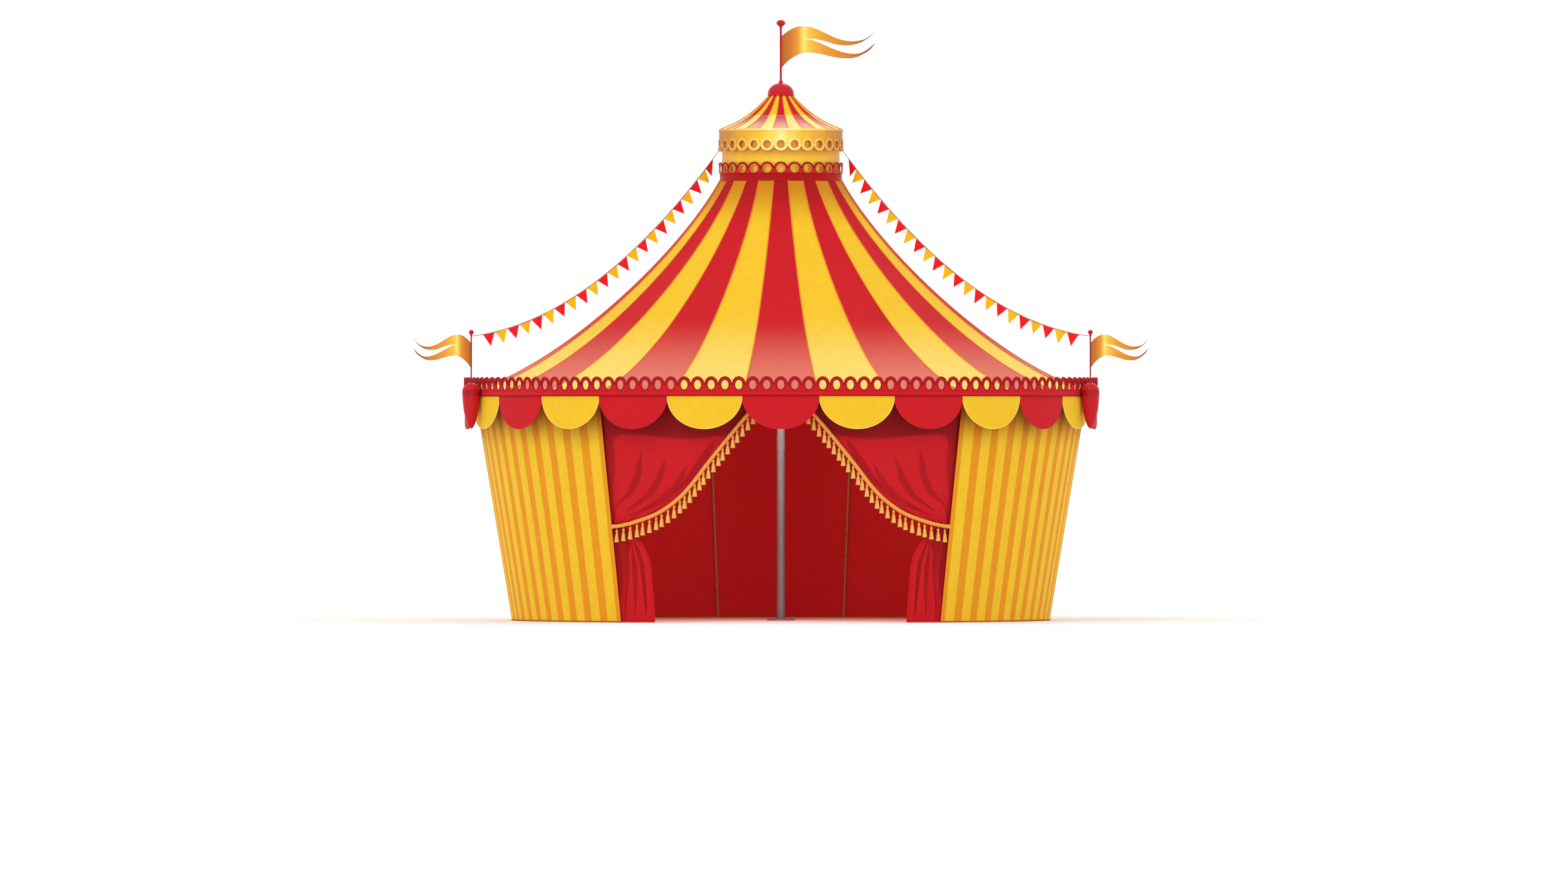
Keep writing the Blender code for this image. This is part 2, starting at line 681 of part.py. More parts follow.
def build_bunting(side, label, cord, red, where):
    """A bunting line and, hanging under it, a tape with its row of pennants."""
    points = strand(side)
    curve = bpy.data.curves.new(f"bunting_line_{label}", "CURVE")
    curve.dimensions = "3D"
    curve.bevel_depth = LINE_R
    curve.bevel_resolution = 2
    curve.use_fill_caps = True
    line = curve.splines.new("POLY")
    line.points.add(len(points) - 1)
    for point, spot in zip(line.points, points):
        point.co = (*spot, 1.0)
    obj = bpy.data.objects.new(curve.name, curve)
    where.objects.link(obj)
    obj.data.materials.append(cord)

    walked = [0.0]
    for a, b in zip(points, points[1:]):
        walked.append(walked[-1] + (b - a).length)

    def on_line(distance):
        for k in range(len(points) - 1):
            if distance <= walked[k + 1]:
                share = (distance - walked[k]) / (walked[k + 1] - walked[k])
                return points[k].lerp(points[k + 1], share)
        return points[-1]

    count = int((walked[-1] - 0.2) / PENNANT_PITCH)
    lead = (walked[-1] - count * PENNANT_PITCH) / 2
    drop = Vector((0, 0, -1))
    bm = bmesh.new()
    upper = []
    lower = []
    stops = []
    for index in range(count):
        at = lead + index * PENNANT_PITCH
        stops += [(at, False), (at + PENNANT_W, True)]
    span = points[-1] - points[0]
    slack = PENNANT_PITCH ** 2 * LINE_SAG / (span.x ** 2 + span.y ** 2)
    for at, _ in stops:
        along = (on_line(at + 0.01) - on_line(at - 0.01)).normalized()
        level = math.hypot(along.x, along.y)
        spot = on_line(at) + drop * ((LINE_R + slack + GAP) / level)
        upper.append(bm.verts.new(spot))
        lower.append(bm.verts.new(spot + drop * TAPE_H))
    for k in range(len(stops) - 1):
        bm.faces.new((upper[k], upper[k + 1], lower[k + 1], lower[k]))
        if not stops[k][1]:
            middle = (lower[k].co + lower[k + 1].co) / 2 + drop * (PENNANT_H - TAPE_H)
            tip = bm.verts.new(middle)
            bm.faces.new((lower[k], lower[k + 1], tip))
    pennants = add(f"bunting_pennants_{label}", bm, red, where)
    thicken(pennants, PENNANT_T, 0)


def main():
    """Clear the scene and build every piece."""
    for obj in list(bpy.data.objects):
        bpy.data.objects.remove(obj)
    where = collection(PARTS)
    cutters = collection("cutters")
    red = material("red_canvas", RED)
    yellow = material("yellow_canvas", YELLOW)
    orange = material("orange_canvas", ORANGE)
    gold = material("gold_trim", GOLD, 0.35, 0.8)
    steel = material("grey_steel", STEEL, 0.45, 0.9)
    timber = material("pole_timber", TIMBER, 0.6)

    roof_inner = build_roof((red, yellow), where)
    build_walls(orange, where)
    build_eave(red, where)
    build_frame(steel, timber, roof_inner, where, cutters)
    cap_top = build_drum(red, gold, where, cutters)
    build_flagpole("main_flagpole", Vector((0, 0, cap_top + GAP)), MAIN_POLE_R,
                   MAIN_POLE_TOP_Z, MAIN_KNOB, red, where)
    build_flag("main_flag", MAIN_FLAG_HOIST, MAIN_FLAG_REACH, MAIN_FLAG_LOW_Z,
               Vector((0, 0, 0)), MAIN_POLE_R, 1, gold, where)
    for side, label in ((-1, "left"), (1, "right")):
        build_ornament(side, label, red, where)
        foot = ornament_spot(side)
        foot.z = ORNAMENT_TOP_Z + GAP
        build_flagpole(f"end_flagpole_{label}", foot, END_POLE_R, END_POLE_TOP_Z, END_KNOB, red,
                       where)
        build_flag(f"end_flag_{label}", END_FLAG_HOIST, END_FLAG_REACH, END_FLAG_LOW_Z, foot,
                   END_POLE_R, side, gold, where)
        build_curtain(side, label, red, where)
        build_trim(side, label, gold, where, cutters)
        build_bunting(side, label, timber, red, where)
    build_door_frame(steel, where, cutters)


main()
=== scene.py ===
"""Looks of a round, striped circus big top.

A concave roof of red and yellow gores, a gilded drum with a small cone roof, a
pierced eave band over a scalloped valance, leaning striped walls, a curtained
doorway, flags and two strands of bunting.

Metres, +Z up. The doorway faces -Y, and azimuths are degrees from -Y towards +X.
"""

import logging
import math
from dataclasses import dataclass, field
from enum import Enum
from functools import cache
from typing import Callable, Sequence

import bmesh
import bpy
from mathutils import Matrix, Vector

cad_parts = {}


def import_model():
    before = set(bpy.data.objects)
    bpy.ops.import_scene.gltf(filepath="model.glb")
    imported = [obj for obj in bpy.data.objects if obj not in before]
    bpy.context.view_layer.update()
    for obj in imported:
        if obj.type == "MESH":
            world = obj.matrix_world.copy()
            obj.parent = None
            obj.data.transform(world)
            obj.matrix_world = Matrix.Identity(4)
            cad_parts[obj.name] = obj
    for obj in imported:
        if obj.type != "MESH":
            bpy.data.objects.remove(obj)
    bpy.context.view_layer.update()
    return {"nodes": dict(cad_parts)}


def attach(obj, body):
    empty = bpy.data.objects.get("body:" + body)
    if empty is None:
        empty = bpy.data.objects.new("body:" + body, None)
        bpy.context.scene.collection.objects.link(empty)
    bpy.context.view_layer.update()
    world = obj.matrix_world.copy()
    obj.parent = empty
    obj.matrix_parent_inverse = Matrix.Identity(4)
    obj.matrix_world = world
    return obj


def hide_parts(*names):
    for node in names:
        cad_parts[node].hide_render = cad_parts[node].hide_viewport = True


LOG = logging.getLogger("big_top")
BODY = "root"

# Points nearer than WELD become one, and edges shorter than SPECK go.
WELD = 0.00002
SPECK = 0.00001

# Hanging cloth is shaded smooth at folds that bend by less than this many degrees.
SOFT_ANGLE = 75.0

Colour = tuple[int, int, int]
Pair = tuple[float, float]
Profile = tuple[Pair, ...]
Outline = Sequence[Pair]
SlotRule = Callable[[int, int], int]
Material = bpy.types.Material
Socket = bpy.types.NodeSocket


class Side(Enum):
    """The two mirrored sides of the tent, as signs of X."""

    LEFT = -1
    RIGHT = 1

    @property
    def label(self) -> str:
        """The side's word in node and piece names."""
        return self.name.lower()


def paint(colour: Colour) -> tuple[float, ...]:
    """Turn a screen colour into the linear one that a node takes.

    Args:
        colour: Red, green and blue from 0 to 255.

    Returns:
        The linear colour with its alpha.
    """
    def linear(value: int) -> float:
        """One channel, freed of the screen's gamma."""
        share = value / 255.0
        return share / 12.92 if share <= 0.04045 else ((share + 0.055) / 1.055) ** 2.4

    return (*(linear(value) for value in colour), 1.0)


def polar(radius: float, degrees: float, height: float) -> Vector:
    """The point at a radius, at an azimuth from -Y towards +X, and at a height."""
    angle = math.radians(degrees)
    return Vector((radius * math.sin(angle), -radius * math.cos(angle), height))


def circle(radius: float, height: float, count: int) -> list[Vector]:
    """Evenly spaced points on a level circle round the king pole's axis."""
    return [polar(radius, 360.0 * k / count, height) for k in range(count)]


def turns(sweep: float, steps: int) -> list[float]:
    """Angles that go from 0 through a sweep in even steps, in radians."""
    return [sweep * k / steps for k in range(steps + 1)]


def dome(radius: float, foot: float, rise: float, steps: int) -> list[Pair]:
    """The (radius, height) points of a dome, from its top down to its foot."""
    return [(radius * math.sin(turn), foot + rise * math.cos(turn))
            for turn in turns(math.pi / 2, steps)]


def cubic(start: Pair, start_pull: Pair, end: Pair, end_pull: Pair, count: int) -> list[Vector]:
    """Sample a cubic curve between two (radius, height) points.

    Args:
        start: The first point.
        start_pull: Its handle, as an offset.
        end: The last point.
        end_pull: Its handle, as an offset.
        count: How many points to give back.

    Returns:
        The points, as 2-D vectors.
    """
    a = Vector(start)
    d = Vector(end)
    b = a + Vector(start_pull)
    c = d + Vector(end_pull)
    points = []
    for i in range(count):
        t = i / (count - 1)
        u = 1 - t
        points.append(u**3 * a + 3 * u * u * t * b + 3 * u * t * t * c + t**3 * d)
    return points


def rounded_line(points: Sequence[Vector | Pair], count: int) -> list[Vector]:
    """Run an even, rounded line through points.

    Args:
        points: The points to pass through, in 2-D or 3-D.
        count: How many points the new line has.

    Returns:
        Points that lie evenly along a Catmull-Rom curve.
    """
    points = [Vector(point) for point in points]
    steps = 16
    fine = []
    for k in range(len(points) - 1):
        p0 = points[max(k - 1, 0)]
        p1 = points[k]
        p2 = points[k + 1]
        p3 = points[min(k + 2, len(points) - 1)]
        for step in range(steps):
            t = step / steps
            fine.append(0.5 * (2 * p1 + (p2 - p0) * t + (2 * p0 - 5 * p1 + 4 * p2 - p3) * t * t
                               + (3 * p1 - p0 - 3 * p2 + p3) * t**3))
    fine.append(points[-1])
    walked = distances(fine)
    even = []
    k = 0
    for i in range(count):
        goal = walked[-1] * i / (count - 1)
        while k < len(fine) - 2 and walked[k + 1] < goal:
            k += 1
        share = (goal - walked[k]) / max(walked[k + 1] - walked[k], 1e-9)
        even.append(fine[k].lerp(fine[k + 1], min(share, 1.0)))
    return even


def line_length(points: Sequence[Vector]) -> float:
    """The length of a line through points."""
    return sum((b - a).length for a, b in zip(points, points[1:]))


def distances(points: Sequence[Vector]) -> list[float]:
    """Measure how far along a line each of its points lies.

    Args:
        points: The line's points, in 2-D or 3-D.

    Returns:
        Their distances from the line's start.
    """
    walked = [0.0]
    for a, b in zip(points, points[1:]):
        walked.append(walked[-1] + (b - a).length)
    return walked


def heading(points: Sequence[Vector], k: int) -> Vector:
    """The direction of a line at one of its points."""
    return (points[min(k + 1, len(points) - 1)] - points[max(k - 1, 0)]).normalized()


def outward(line: Sequence[Vector]) -> list[Vector]:
    """The outward normals of a (radius, height) line that runs down and out."""
    headings = [heading(line, k) for k in range(len(line))]
    return [Vector((-along.y, along.x)) for along in headings]


def ease(value: float, start: float, end: float) -> float:
    """A value's share of the way from start to end, with soft ends."""
    share = min(1.0, max(0.0, (value - start) / (end - start)))
    return share * share * (3 - 2 * share)


def stroke(spot: Vector, path: Sequence[Vector], width: float) -> float:
    """How strongly a tapered stroke along a path covers a point.

    Args:
        spot: The point, in 2-D.
        path: The stroke's middle line.
        width: Half of its width where it is widest.

    Returns:
        A share from 0 outside the stroke to 1 on its middle.
    """
    best = 0.0
    for k, (a, b) in enumerate(zip(path, path[1:])):
        way = b - a
        along = min(1.0, max(0.0, (spot - a).dot(way) / way.length_squared))
        run = (k + along) / (len(path) - 1)
        reach = width * max(0.12, math.sin(math.pi * run**0.8))
        best = max(best, 1 - ease((spot - a - way * along).length, reach * 0.5, reach))
    return best


@dataclass(frozen=True)
class Plan:
    """Sizes that several sub-assemblies share.

    The pulls are the handles of the roofs' curves, at the upper and at the lower end.
    """

    gap: float = 0.0003
    gores: int = 26
    gores_per_section: int = 2
    crown_z: float = 9.716
    crown_inset: float = 0.006
    eave_z: float = 5.035
    eave_inset: float = 0.002
    roof_pulls: tuple[Pair, Pair] = ((0.896, -1.642), (-1.942, 0.451))
    band_r: float = 7.0
    band_t: float = 0.015
    band_low: float = 4.954
    crest_count: int = 144
    wall_foot_r: float = 5.954
    wall_slope: float = 0.165
    wall_top: float = 4.90
    door_half: float = 36.0
    curtain_inset: float = 0.085
    drum_r: float = 1.30
    drum_band_r: float = 1.365
    drum_bays: int = 28
    drum_foot: float = 9.7163
    cone_rim_z: float = 10.864
    cone_top: Pair = (0.263, 11.62)
    cone_pulls: tuple[Pair, Pair] = ((0.358, -0.394), (-0.503, 0.194))
    ornament_r: float = 0.195
    ornament_bay: float = 28.5
    ornament_top: float = 5.257
    main_pole_r: float = 0.024
    end_pole_r: float = 0.015
    end_pole_top: float = 6.31

    @property
    def gore_degrees(self) -> float:
        """The sweep of one gore."""
        return 360.0 / self.gores

    def roof_line(self, count: int) -> list[Vector]:
        """The main roof's outer line, from the crown to the eave."""
        upper, lower = self.roof_pulls
        return cubic((self.drum_band_r - self.crown_inset, self.crown_z), upper,
                     (self.band_r - self.band_t - self.eave_inset, self.eave_z), lower, count)

    def cone_line(self, count: int) -> list[Vector]:
        """The small cone roof's outer line, from the cap to its rim."""
        upper, lower = self.cone_pulls
        return cubic(self.cone_top, upper, (self.drum_band_r, self.cone_rim_z), lower, count)

    def wall_radius(self, height: float) -> float:
        """The side wall's outer radius at a height."""
        return self.wall_foot_r + self.wall_slope * height

    def curtain_radius(self, height: float) -> float:
        """The curtains' middle radius at a height."""
        return self.wall_radius(height) - self.curtain_inset

    def ornament_spot(self, side: Side) -> Vector:
        """The axis of a corner ornament, at ground level."""
        return polar(self.band_r + self.ornament_r + self.gap,
                     side.value * self.ornament_bay * 360.0 / self.crest_count, 0.0)


@dataclass
class Draft:
    """Points, faces and finish slots that are gathered before they become one mesh."""

    points: list[Vector] = field(default_factory=list)
    marks: list[float] = field(default_factory=list)
    faces: list[tuple[int, ...]] = field(default_factory=list)
    slots: list[int] = field(default_factory=list)
    sheets: list[int] = field(default_factory=list)

    def grid(self, rows: Sequence[Sequence[Vector]], slot: int | SlotRule = 0,
             wrap: bool = False, marks: Sequence[Sequence[float]] | None = None,
             sheet: int = 1) -> None:
        """Add a sheet of quads.

        Args:
            rows: Rows of points. Rows that go down and points that go to a larger azimuth
                give faces that look outwards.
            slot: The faces' slot, or a rule that gives it for a row and a column.
            wrap: Whether the last column joins the first.
            marks: A value for each point that a shader may read.
            sheet: 1 where the faces are cloth or plate that gets a thickness, otherwise 0.
        """
        first = len(self.points)
        width = len(rows[0])
        for j, row in enumerate(rows):
            self.points.extend(row)
            self.marks.extend(marks[j] if marks else [0.0] * width)
        for j in range(len(rows) - 1):
            for i in range(width if wrap else width - 1):
                k = (i + 1) % width
                top = first + j * width
                low = top + width
                self.faces.append((top + i, low + i, low + k, top + k))
                self.slots.append(slot(j, i) if callable(slot) else slot)
                self.sheets.append(sheet)

    def turned(self, profile: Outline, steps: int, centre: Vector, slot: int = 0,
               ridge: Callable[[float], float] | None = None) -> None:
        """Add a solid or ring that is turned about a vertical axis.

        Args:
            profile: (radius, height) points from the top down the outside.
            steps: How many steps there are to the full turn.
            centre: The foot of the axis.
            slot: The faces' slot.
            ridge: The depth of vertical ridges at a height, as a share of the radius.
        """
        rows = []
        for radius, height in profile:
            depth = ridge(height) if ridge else 0.0
            row = []
            for i in range(steps):
                wide = radius * (1 + (depth if i % 2 else -depth))
                row.append(centre + polar(wide, 360.0 * i / steps, height))
            rows.append(row)
        self.grid(rows, slot, wrap=True, sheet=0)

    def tube(self, path: Sequence[Vector], radius: float, sides: int, slot: int = 0,
             closed: bool = False) -> None:
        """Add a round tube along a path.

        Args:
            path: The points of the centreline.
            radius: The tube's radius.
            sides: How many sides it has.
            slot: The faces' slot.
            closed: Whether the path is a loop. An open tube gets flat ends.
        """
        count = len(path)
        normal = None
        rows = []
        for i, spot in enumerate(path):
            before = path[i - 1] if closed or i > 0 else spot
            after = path[(i + 1) % count] if closed or i < count - 1 else spot
            along = (after - before).normalized()
            if normal is None:
                normal = along.orthogonal().normalized()
            else:
                normal = (normal - along * normal.dot(along)).normalized()
            other = normal.cross(along)
            row = []
            for k in range(sides):
                angle = 2 * math.pi * k / sides
                row.append(spot + (normal * math.cos(angle) + other * math.sin(angle)) * radius)
            rows.append(row)
        first = len(self.points)
        if closed:
            rows.append(rows[0])
        self.grid(rows, slot, wrap=True, sheet=0)
        if not closed:
            last = first + (count - 1) * sides
            self.faces.append(tuple(range(first, first + sides)))
            self.faces.append(tuple(reversed(range(last, last + sides))))
            self.slots += [slot, slot]
            self.sheets += [0, 0]

    @staticmethod
    def _thicken(work: bmesh.types.BMesh, thickness: float, lining: int) -> None:
        """Back every sheet with an inner face and close its borders.

        Args:
            work: The mesh, with the sheets marked on its faces.
            thickness: How thick the sheets get, grown inwards.
            lining: How many slots further on the inner side's finish is.
        """
        flag = work.faces.layers.int["sheet"]
        mark = work.verts.layers.float["mark"]
        sheets = [face for face in work.faces if face[flag]]
        lean: dict[bmesh.types.BMVert, Vector] = {}
        for face in sheets:
            face.normal_update()
            for loop in face.loops:
                share = face.normal * loop.calc_angle()
                lean[loop.vert] = lean.get(loop.vert, Vector()) + share
        backs = {}
        for vert, normal in lean.items():
            backs[vert] = work.verts.new(vert.co - normal.normalized() * thickness)
            backs[vert][mark] = vert[mark]
        for face in sheets:
            front = list(face.verts)
            inner = work.faces.new([backs[vert] for vert in reversed(front)])
            inner.material_index = face.material_index + lining
            for a, b in zip(front, front[1:] + front[:1]):
                if sum(side[flag] for side in work.edges.get((a, b)).link_faces) == 1:
                    border = work.faces.new((b, a, backs[a], backs[b]))
                    border.material_index = face.material_index

    def build(self, name: str, finishes: Sequence[Material], sharp: float = 45.0,
              thickness: float = 0.0, lining: int = 0) -> bpy.types.Object:
        """Make the mesh object, ride it on the tent and report it.

        Args:
            name: The piece's name.
            finishes: The materials of slots 0, 1 and so on.
            sharp: The angle above which an edge stays sharp.
            thickness: How thick the sheets in it get, grown inwards.
            lining: How many slots further on the sheets' inner finish is.

        Returns:
            The new object.
        """
        mesh = bpy.data.meshes.new(name)
        mesh.from_pydata([tuple(p) for p in self.points], [], self.faces)
        mesh.polygons.foreach_set("material_index", self.slots)
        mark = mesh.attributes.new("mark", "FLOAT", "POINT")
        mark.data.foreach_set("value", self.marks)
        flag = mesh.attributes.new("sheet", "INT", "FACE")
        flag.data.foreach_set("value", self.sheets)
        work = bmesh.new()
        work.from_mesh(mesh)
        bmesh.ops.remove_doubles(work, verts=work.verts, dist=WELD)
        bmesh.ops.dissolve_degenerate(work, edges=work.edges, dist=SPECK)
        if thickness:
            self._thicken(work, thickness, lining)
        work.to_mesh(mesh)
        work.free()
        mesh.attributes.remove(mesh.attributes["sheet"])
        mesh.shade_smooth()
        mesh.set_sharp_from_angle(angle=math.radians(sharp))
        piece = bpy.data.objects.new(name, mesh)
        link(piece)
        for finish in finishes:
            mesh.materials.append(finish)
        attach(piece, BODY)
        LOG.info("%s: %d faces", name, len(mesh.polygons))
        return piece


class Tree:
    """A short hand for making and joining shader nodes."""

    def __init__(self, tree: bpy.types.NodeTree) -> None:
        """Keep the node tree that is worked on."""
        self.tree = tree

    def node(self, kind: str, inputs: dict | None = None, **settings: object) -> bpy.types.Node:
        """Add a node.

        Args:
            kind: The node's type name.
            inputs: Values or sockets for its inputs, by name or number.
            **settings: The node's own properties.

        Returns:
            The node.
        """
        made = self.tree.nodes.new(kind)
        for key, value in settings.items():
            setattr(made, key, value)
        for key, value in (inputs or {}).items():
            if isinstance(value, Socket):
                self.join(value, made.inputs[key])
            else:
                made.inputs[key].default_value = value
        return made

    def join(self, source: Socket, target: Socket) -> None:
        """Feed one socket from another."""
        self.tree.links.new(source, target)

    def maths(self, operation: str, *values: object) -> Socket:
        """One calculation on numbers or sockets."""
        return self.node("ShaderNodeMath", dict(enumerate(values)), operation=operation).outputs[0]

    def blend(self, share: object, first: object, second: object, kind: str = "MIX") -> Socket:
        """Mix two colours.

        Args:
            share: The second colour's share, a number or a socket.
            first: The first colour or socket.
            second: The second colour or socket.
            kind: The way of mixing.

        Returns:
            The mixed colour's socket.
        """
        def full(value: object) -> object:
            """A colour as a node takes it, or the socket as it is."""
            return paint(value) if isinstance(value, tuple) else value

        mix = self.node("ShaderNodeMix", {0: share, 6: full(first), 7: full(second)},
                        data_type="RGBA", blend_type=kind)
        return mix.outputs[2]

    def ramp(self, share: object, stops: Sequence[tuple[float, Colour]]) -> Socket:
        """Add a colour ramp over a value.

        Args:
            share: The value, a number or a socket.
            stops: The places of the ramp's colours, from 0 to 1, and the colours.

        Returns:
            The colour's socket.
        """
        made = self.node("ShaderNodeValToRGB", {0: share})
        band = made.color_ramp
        while len(band.elements) < len(stops):
            band.elements.new(0.5)
        for element, (place, colour) in zip(band.elements, stops):
            element.position = place
            element.color = paint(colour)
        return made.outputs[0]

    def bump(self, height: object, strength: float, distance: float,
             normal: Socket | None = None) -> Socket:
        """Add a bump from a height, over another normal where one is given.

        Args:
            height: The height's socket.
            strength: How strong the bump is, from 0 to 1.
            distance: How far it stands proud at a height of 1.
            normal: The normal under it.

        Returns:
            The new normal's socket.
        """
        inputs = {"Height": height, "Strength": strength, "Distance": distance}
        if normal is not None:
            inputs["Normal"] = normal
        return self.node("ShaderNodeBump", inputs).outputs[0]

    def remap(self, value: object, source: tuple[object, object], target: Pair,
              **settings: object) -> Socket:
        """Carry a value over from one range to another."""
        return self.node("ShaderNodeMapRange", {
            "Value": value, "From Min": source[0], "From Max": source[1],
            "To Min": target[0], "To Max": target[1]}, **settings).outputs[0]

    def noise(self, place: object, scale: object, detail: float, rough: float = 0.5) -> Socket:
        """A noise over a place."""
        return self.node("ShaderNodeTexNoise", {
            "Vector": place, "Scale": scale, "Detail": detail, "Roughness": rough}).outputs[0]


class Effects:
    """Shader effects that several finishes share, each a node group that is built once."""

    @staticmethod
    def _group(name: str, inputs: Sequence[tuple[str, float]],
               outputs: Sequence[str]) -> tuple[Tree, bpy.types.Node, bpy.types.Node]:
        """Start a new group.

        Args:
            name: The group's name.
            inputs: Its number inputs and their values.
            outputs: Its outputs.

        Returns:
            The group's tree and its two end nodes.
        """
        tree = bpy.data.node_groups.new(name, "ShaderNodeTree")
        kind = "NodeSocketFloat"
        for label, value in inputs:
            socket = tree.interface.new_socket(label, in_out="INPUT", socket_type=kind)
            socket.default_value = value
        for label in outputs:
            tree.interface.new_socket(label, in_out="OUTPUT", socket_type=kind)
        return Tree(tree), tree.nodes.new("NodeGroupInput"), tree.nodes.new("NodeGroupOutput")

    @staticmethod
    @cache
    def cloth() -> bpy.types.NodeTree:
        """Threads, soft wrinkles and uneven dye of canvas, round the tent's axis.

        Returns:
            The group.
        """
        tree, given, result = Effects._group(
            "canvas_cloth", (("Thread", 0.006), ("Wrinkle", 1.6)), ("Threads", "Wrinkles", "Dye"))
        place = tree.node("ShaderNodeTexCoord").outputs["Object"]
        parts = tree.node("ShaderNodeSeparateXYZ", {0: place})
        azimuth = tree.maths("ARCTAN2", parts.outputs[0],
                             tree.maths("MULTIPLY", parts.outputs[1], -1.0))
        radius = tree.maths("SQRT", tree.maths(
            "ADD", tree.maths("POWER", parts.outputs[0], 2.0),
            tree.maths("POWER", parts.outputs[1], 2.0)))
        rate = tree.maths("DIVIDE", 2 * math.pi, given.outputs["Thread"])
        arc = tree.maths("MULTIPLY", azimuth, 7.0)
        across = tree.maths("SINE", tree.maths("MULTIPLY", arc, rate))
        slant = tree.maths("ADD", parts.outputs[2], radius)
        along = tree.maths("SINE", tree.maths("MULTIPLY", slant, rate))
        threads = tree.maths("MULTIPLY", tree.maths("ADD", across, along), 0.5)
        wrinkle = tree.noise(place, given.outputs["Wrinkle"], 3.0, 0.55)
        dye = tree.noise(place, 5.0, 6.0, 0.65)
        for label, socket in (("Threads", threads), ("Wrinkles", wrinkle), ("Dye", dye)):
            tree.join(socket, result.inputs[label])
        return tree.tree

    @staticmethod
    @cache
    def height() -> bpy.types.NodeTree:
        """A mask that goes smoothly from 0 at one height to 1 at another.

        Returns:
            The group.
        """
        tree, given, result = Effects._group(
            "height_mask", (("From", 0.0), ("To", 1.0)), ("Mask",))
        place = tree.node("ShaderNodeTexCoord").outputs["Object"]
        level = tree.node("ShaderNodeSeparateXYZ", {0: place}).outputs[2]
        share = tree.remap(level, (given.outputs["From"], given.outputs["To"]), (0.0, 1.0),
                           interpolation_type="SMOOTHSTEP")
        tree.join(share, result.inputs["Mask"])
        return tree.tree

    @staticmethod
    @cache
    def wear() -> bpy.types.NodeTree:
        """Dust, fine scratches and uneven polish of paint, metal and timber.

        Returns:
            The group.
        """
        tree, given, result = Effects._group(
            "surface_wear", (("Scale", 6.0), ("Grain", 1.0)), ("Dust", "Grain", "Polish"))
        place = tree.node("ShaderNodeTexCoord").outputs["Object"]
        blotch = tree.noise(place, given.outputs["Scale"], 5.0, 0.6)
        dust = tree.remap(blotch, (0.52, 0.78), (0.0, 1.0))
        drawn = tree.node("ShaderNodeMapping", {
            "Vector": place, "Scale": (60.0, 60.0, 3.0)}).outputs[0]
        grain = tree.noise(drawn, given.outputs["Grain"], 4.0)
        for label, socket in (("Dust", dust), ("Grain", grain), ("Polish", blotch)):
            tree.join(socket, result.inputs[label])
        return tree.tree

    @staticmethod
    def place(tree: Tree, group: bpy.types.NodeTree, **values: float) -> bpy.types.Node:
        """Put a group into a material.

        Args:
            tree: The material's tree.
            group: The group.
            **values: The values of its inputs there.

        Returns:
            The group's node.
        """
        made = tree.node("ShaderNodeGroup", node_tree=group)
        for label, value in values.items():
            made.inputs[label].default_value = value
        return made


def link(item: bpy.types.Object) -> None:
    """Put an object into the scene."""
    bpy.context.scene.collection.objects.link(item)


def settle(shader: bpy.types.Node, values: dict[str, object]) -> None:
    """Set the shader's own sockets."""
    for label, value in values.items():
        shader.inputs[label].default_value = value


def new_material(name: str) -> tuple[Material, Tree, bpy.types.Node]:
    """Start a new material.

    Args:
        name: The material's name.

    Returns:
        The material, its tree and its Principled shader.
    """
    made = bpy.data.materials.new(name)
    made.use_nodes = True
    return made, Tree(made.node_tree), made.node_tree.nodes["Principled BSDF"]


@dataclass(frozen=True)
class Fade:
    """A second colour that a finish reaches at a height; most paint highlight and shade by height.
    """

    colour: Colour
    start: float
    full: float

    def over(self, tree: Tree, colour: object) -> Socket:
        """Blend this colour over another one by height."""
        mask = Effects.place(tree, Effects.height(), From=self.start, To=self.full)
        return tree.blend(mask.outputs[0], colour, self.colour)


@dataclass(frozen=True)
class Canvas:
    """Dyed tent canvas with threads, wrinkles and colours by height, mostly painted highlight and
    shade.
    """

    name: str
    colour: Colour
    fades: tuple[Fade, ...] = ()
    # The shade colour is painted shade, laid over the cloth where the mark attribute says.
    shade_colour: Colour | None = None
    rough: float = 0.74
    sheen: float = 0.03
    wrinkle: float = 0.012

    def material(self) -> Material:
        """Build the material.

        Returns:
            The finished material.
        """
        made, tree, shader = new_material(self.name)
        cloth = Effects.place(tree, Effects.cloth())
        colour: object = self.colour
        for fade in self.fades:
            colour = fade.over(tree, colour)
        # Painted shade: a darker colour goes over the cloth as far as the mark attribute says.
        if self.shade_colour is not None:
            shade_share = tree.node("ShaderNodeAttribute", attribute_name="mark").outputs["Fac"]
            colour = tree.blend(shade_share, colour, self.shade_colour)
        dye = tree.remap(cloth.outputs["Dye"], (0.3, 0.7), (0.95, 1.04))
        grey = tree.node("ShaderNodeCombineColor", {0: dye, 1: dye, 2: dye}).outputs[0]
        tree.join(tree.blend(1.0, colour, grey, "MULTIPLY"), shader.inputs["Base Color"])
        rough = tree.remap(cloth.outputs["Dye"], (0.0, 1.0),
                           (self.rough - 0.06, self.rough + 0.08))
        tree.join(rough, shader.inputs["Roughness"])
        soft = tree.bump(cloth.outputs["Wrinkles"], 0.6, self.wrinkle)
        fine = tree.bump(cloth.outputs["Threads"], 0.25, 0.0012, soft)
        tree.join(fine, shader.inputs["Normal"])
        settle(shader, {"Sheen Weight": self.sheen, "Sheen Roughness": 0.4,
                        "Specular IOR Level": 0.1})
        return made


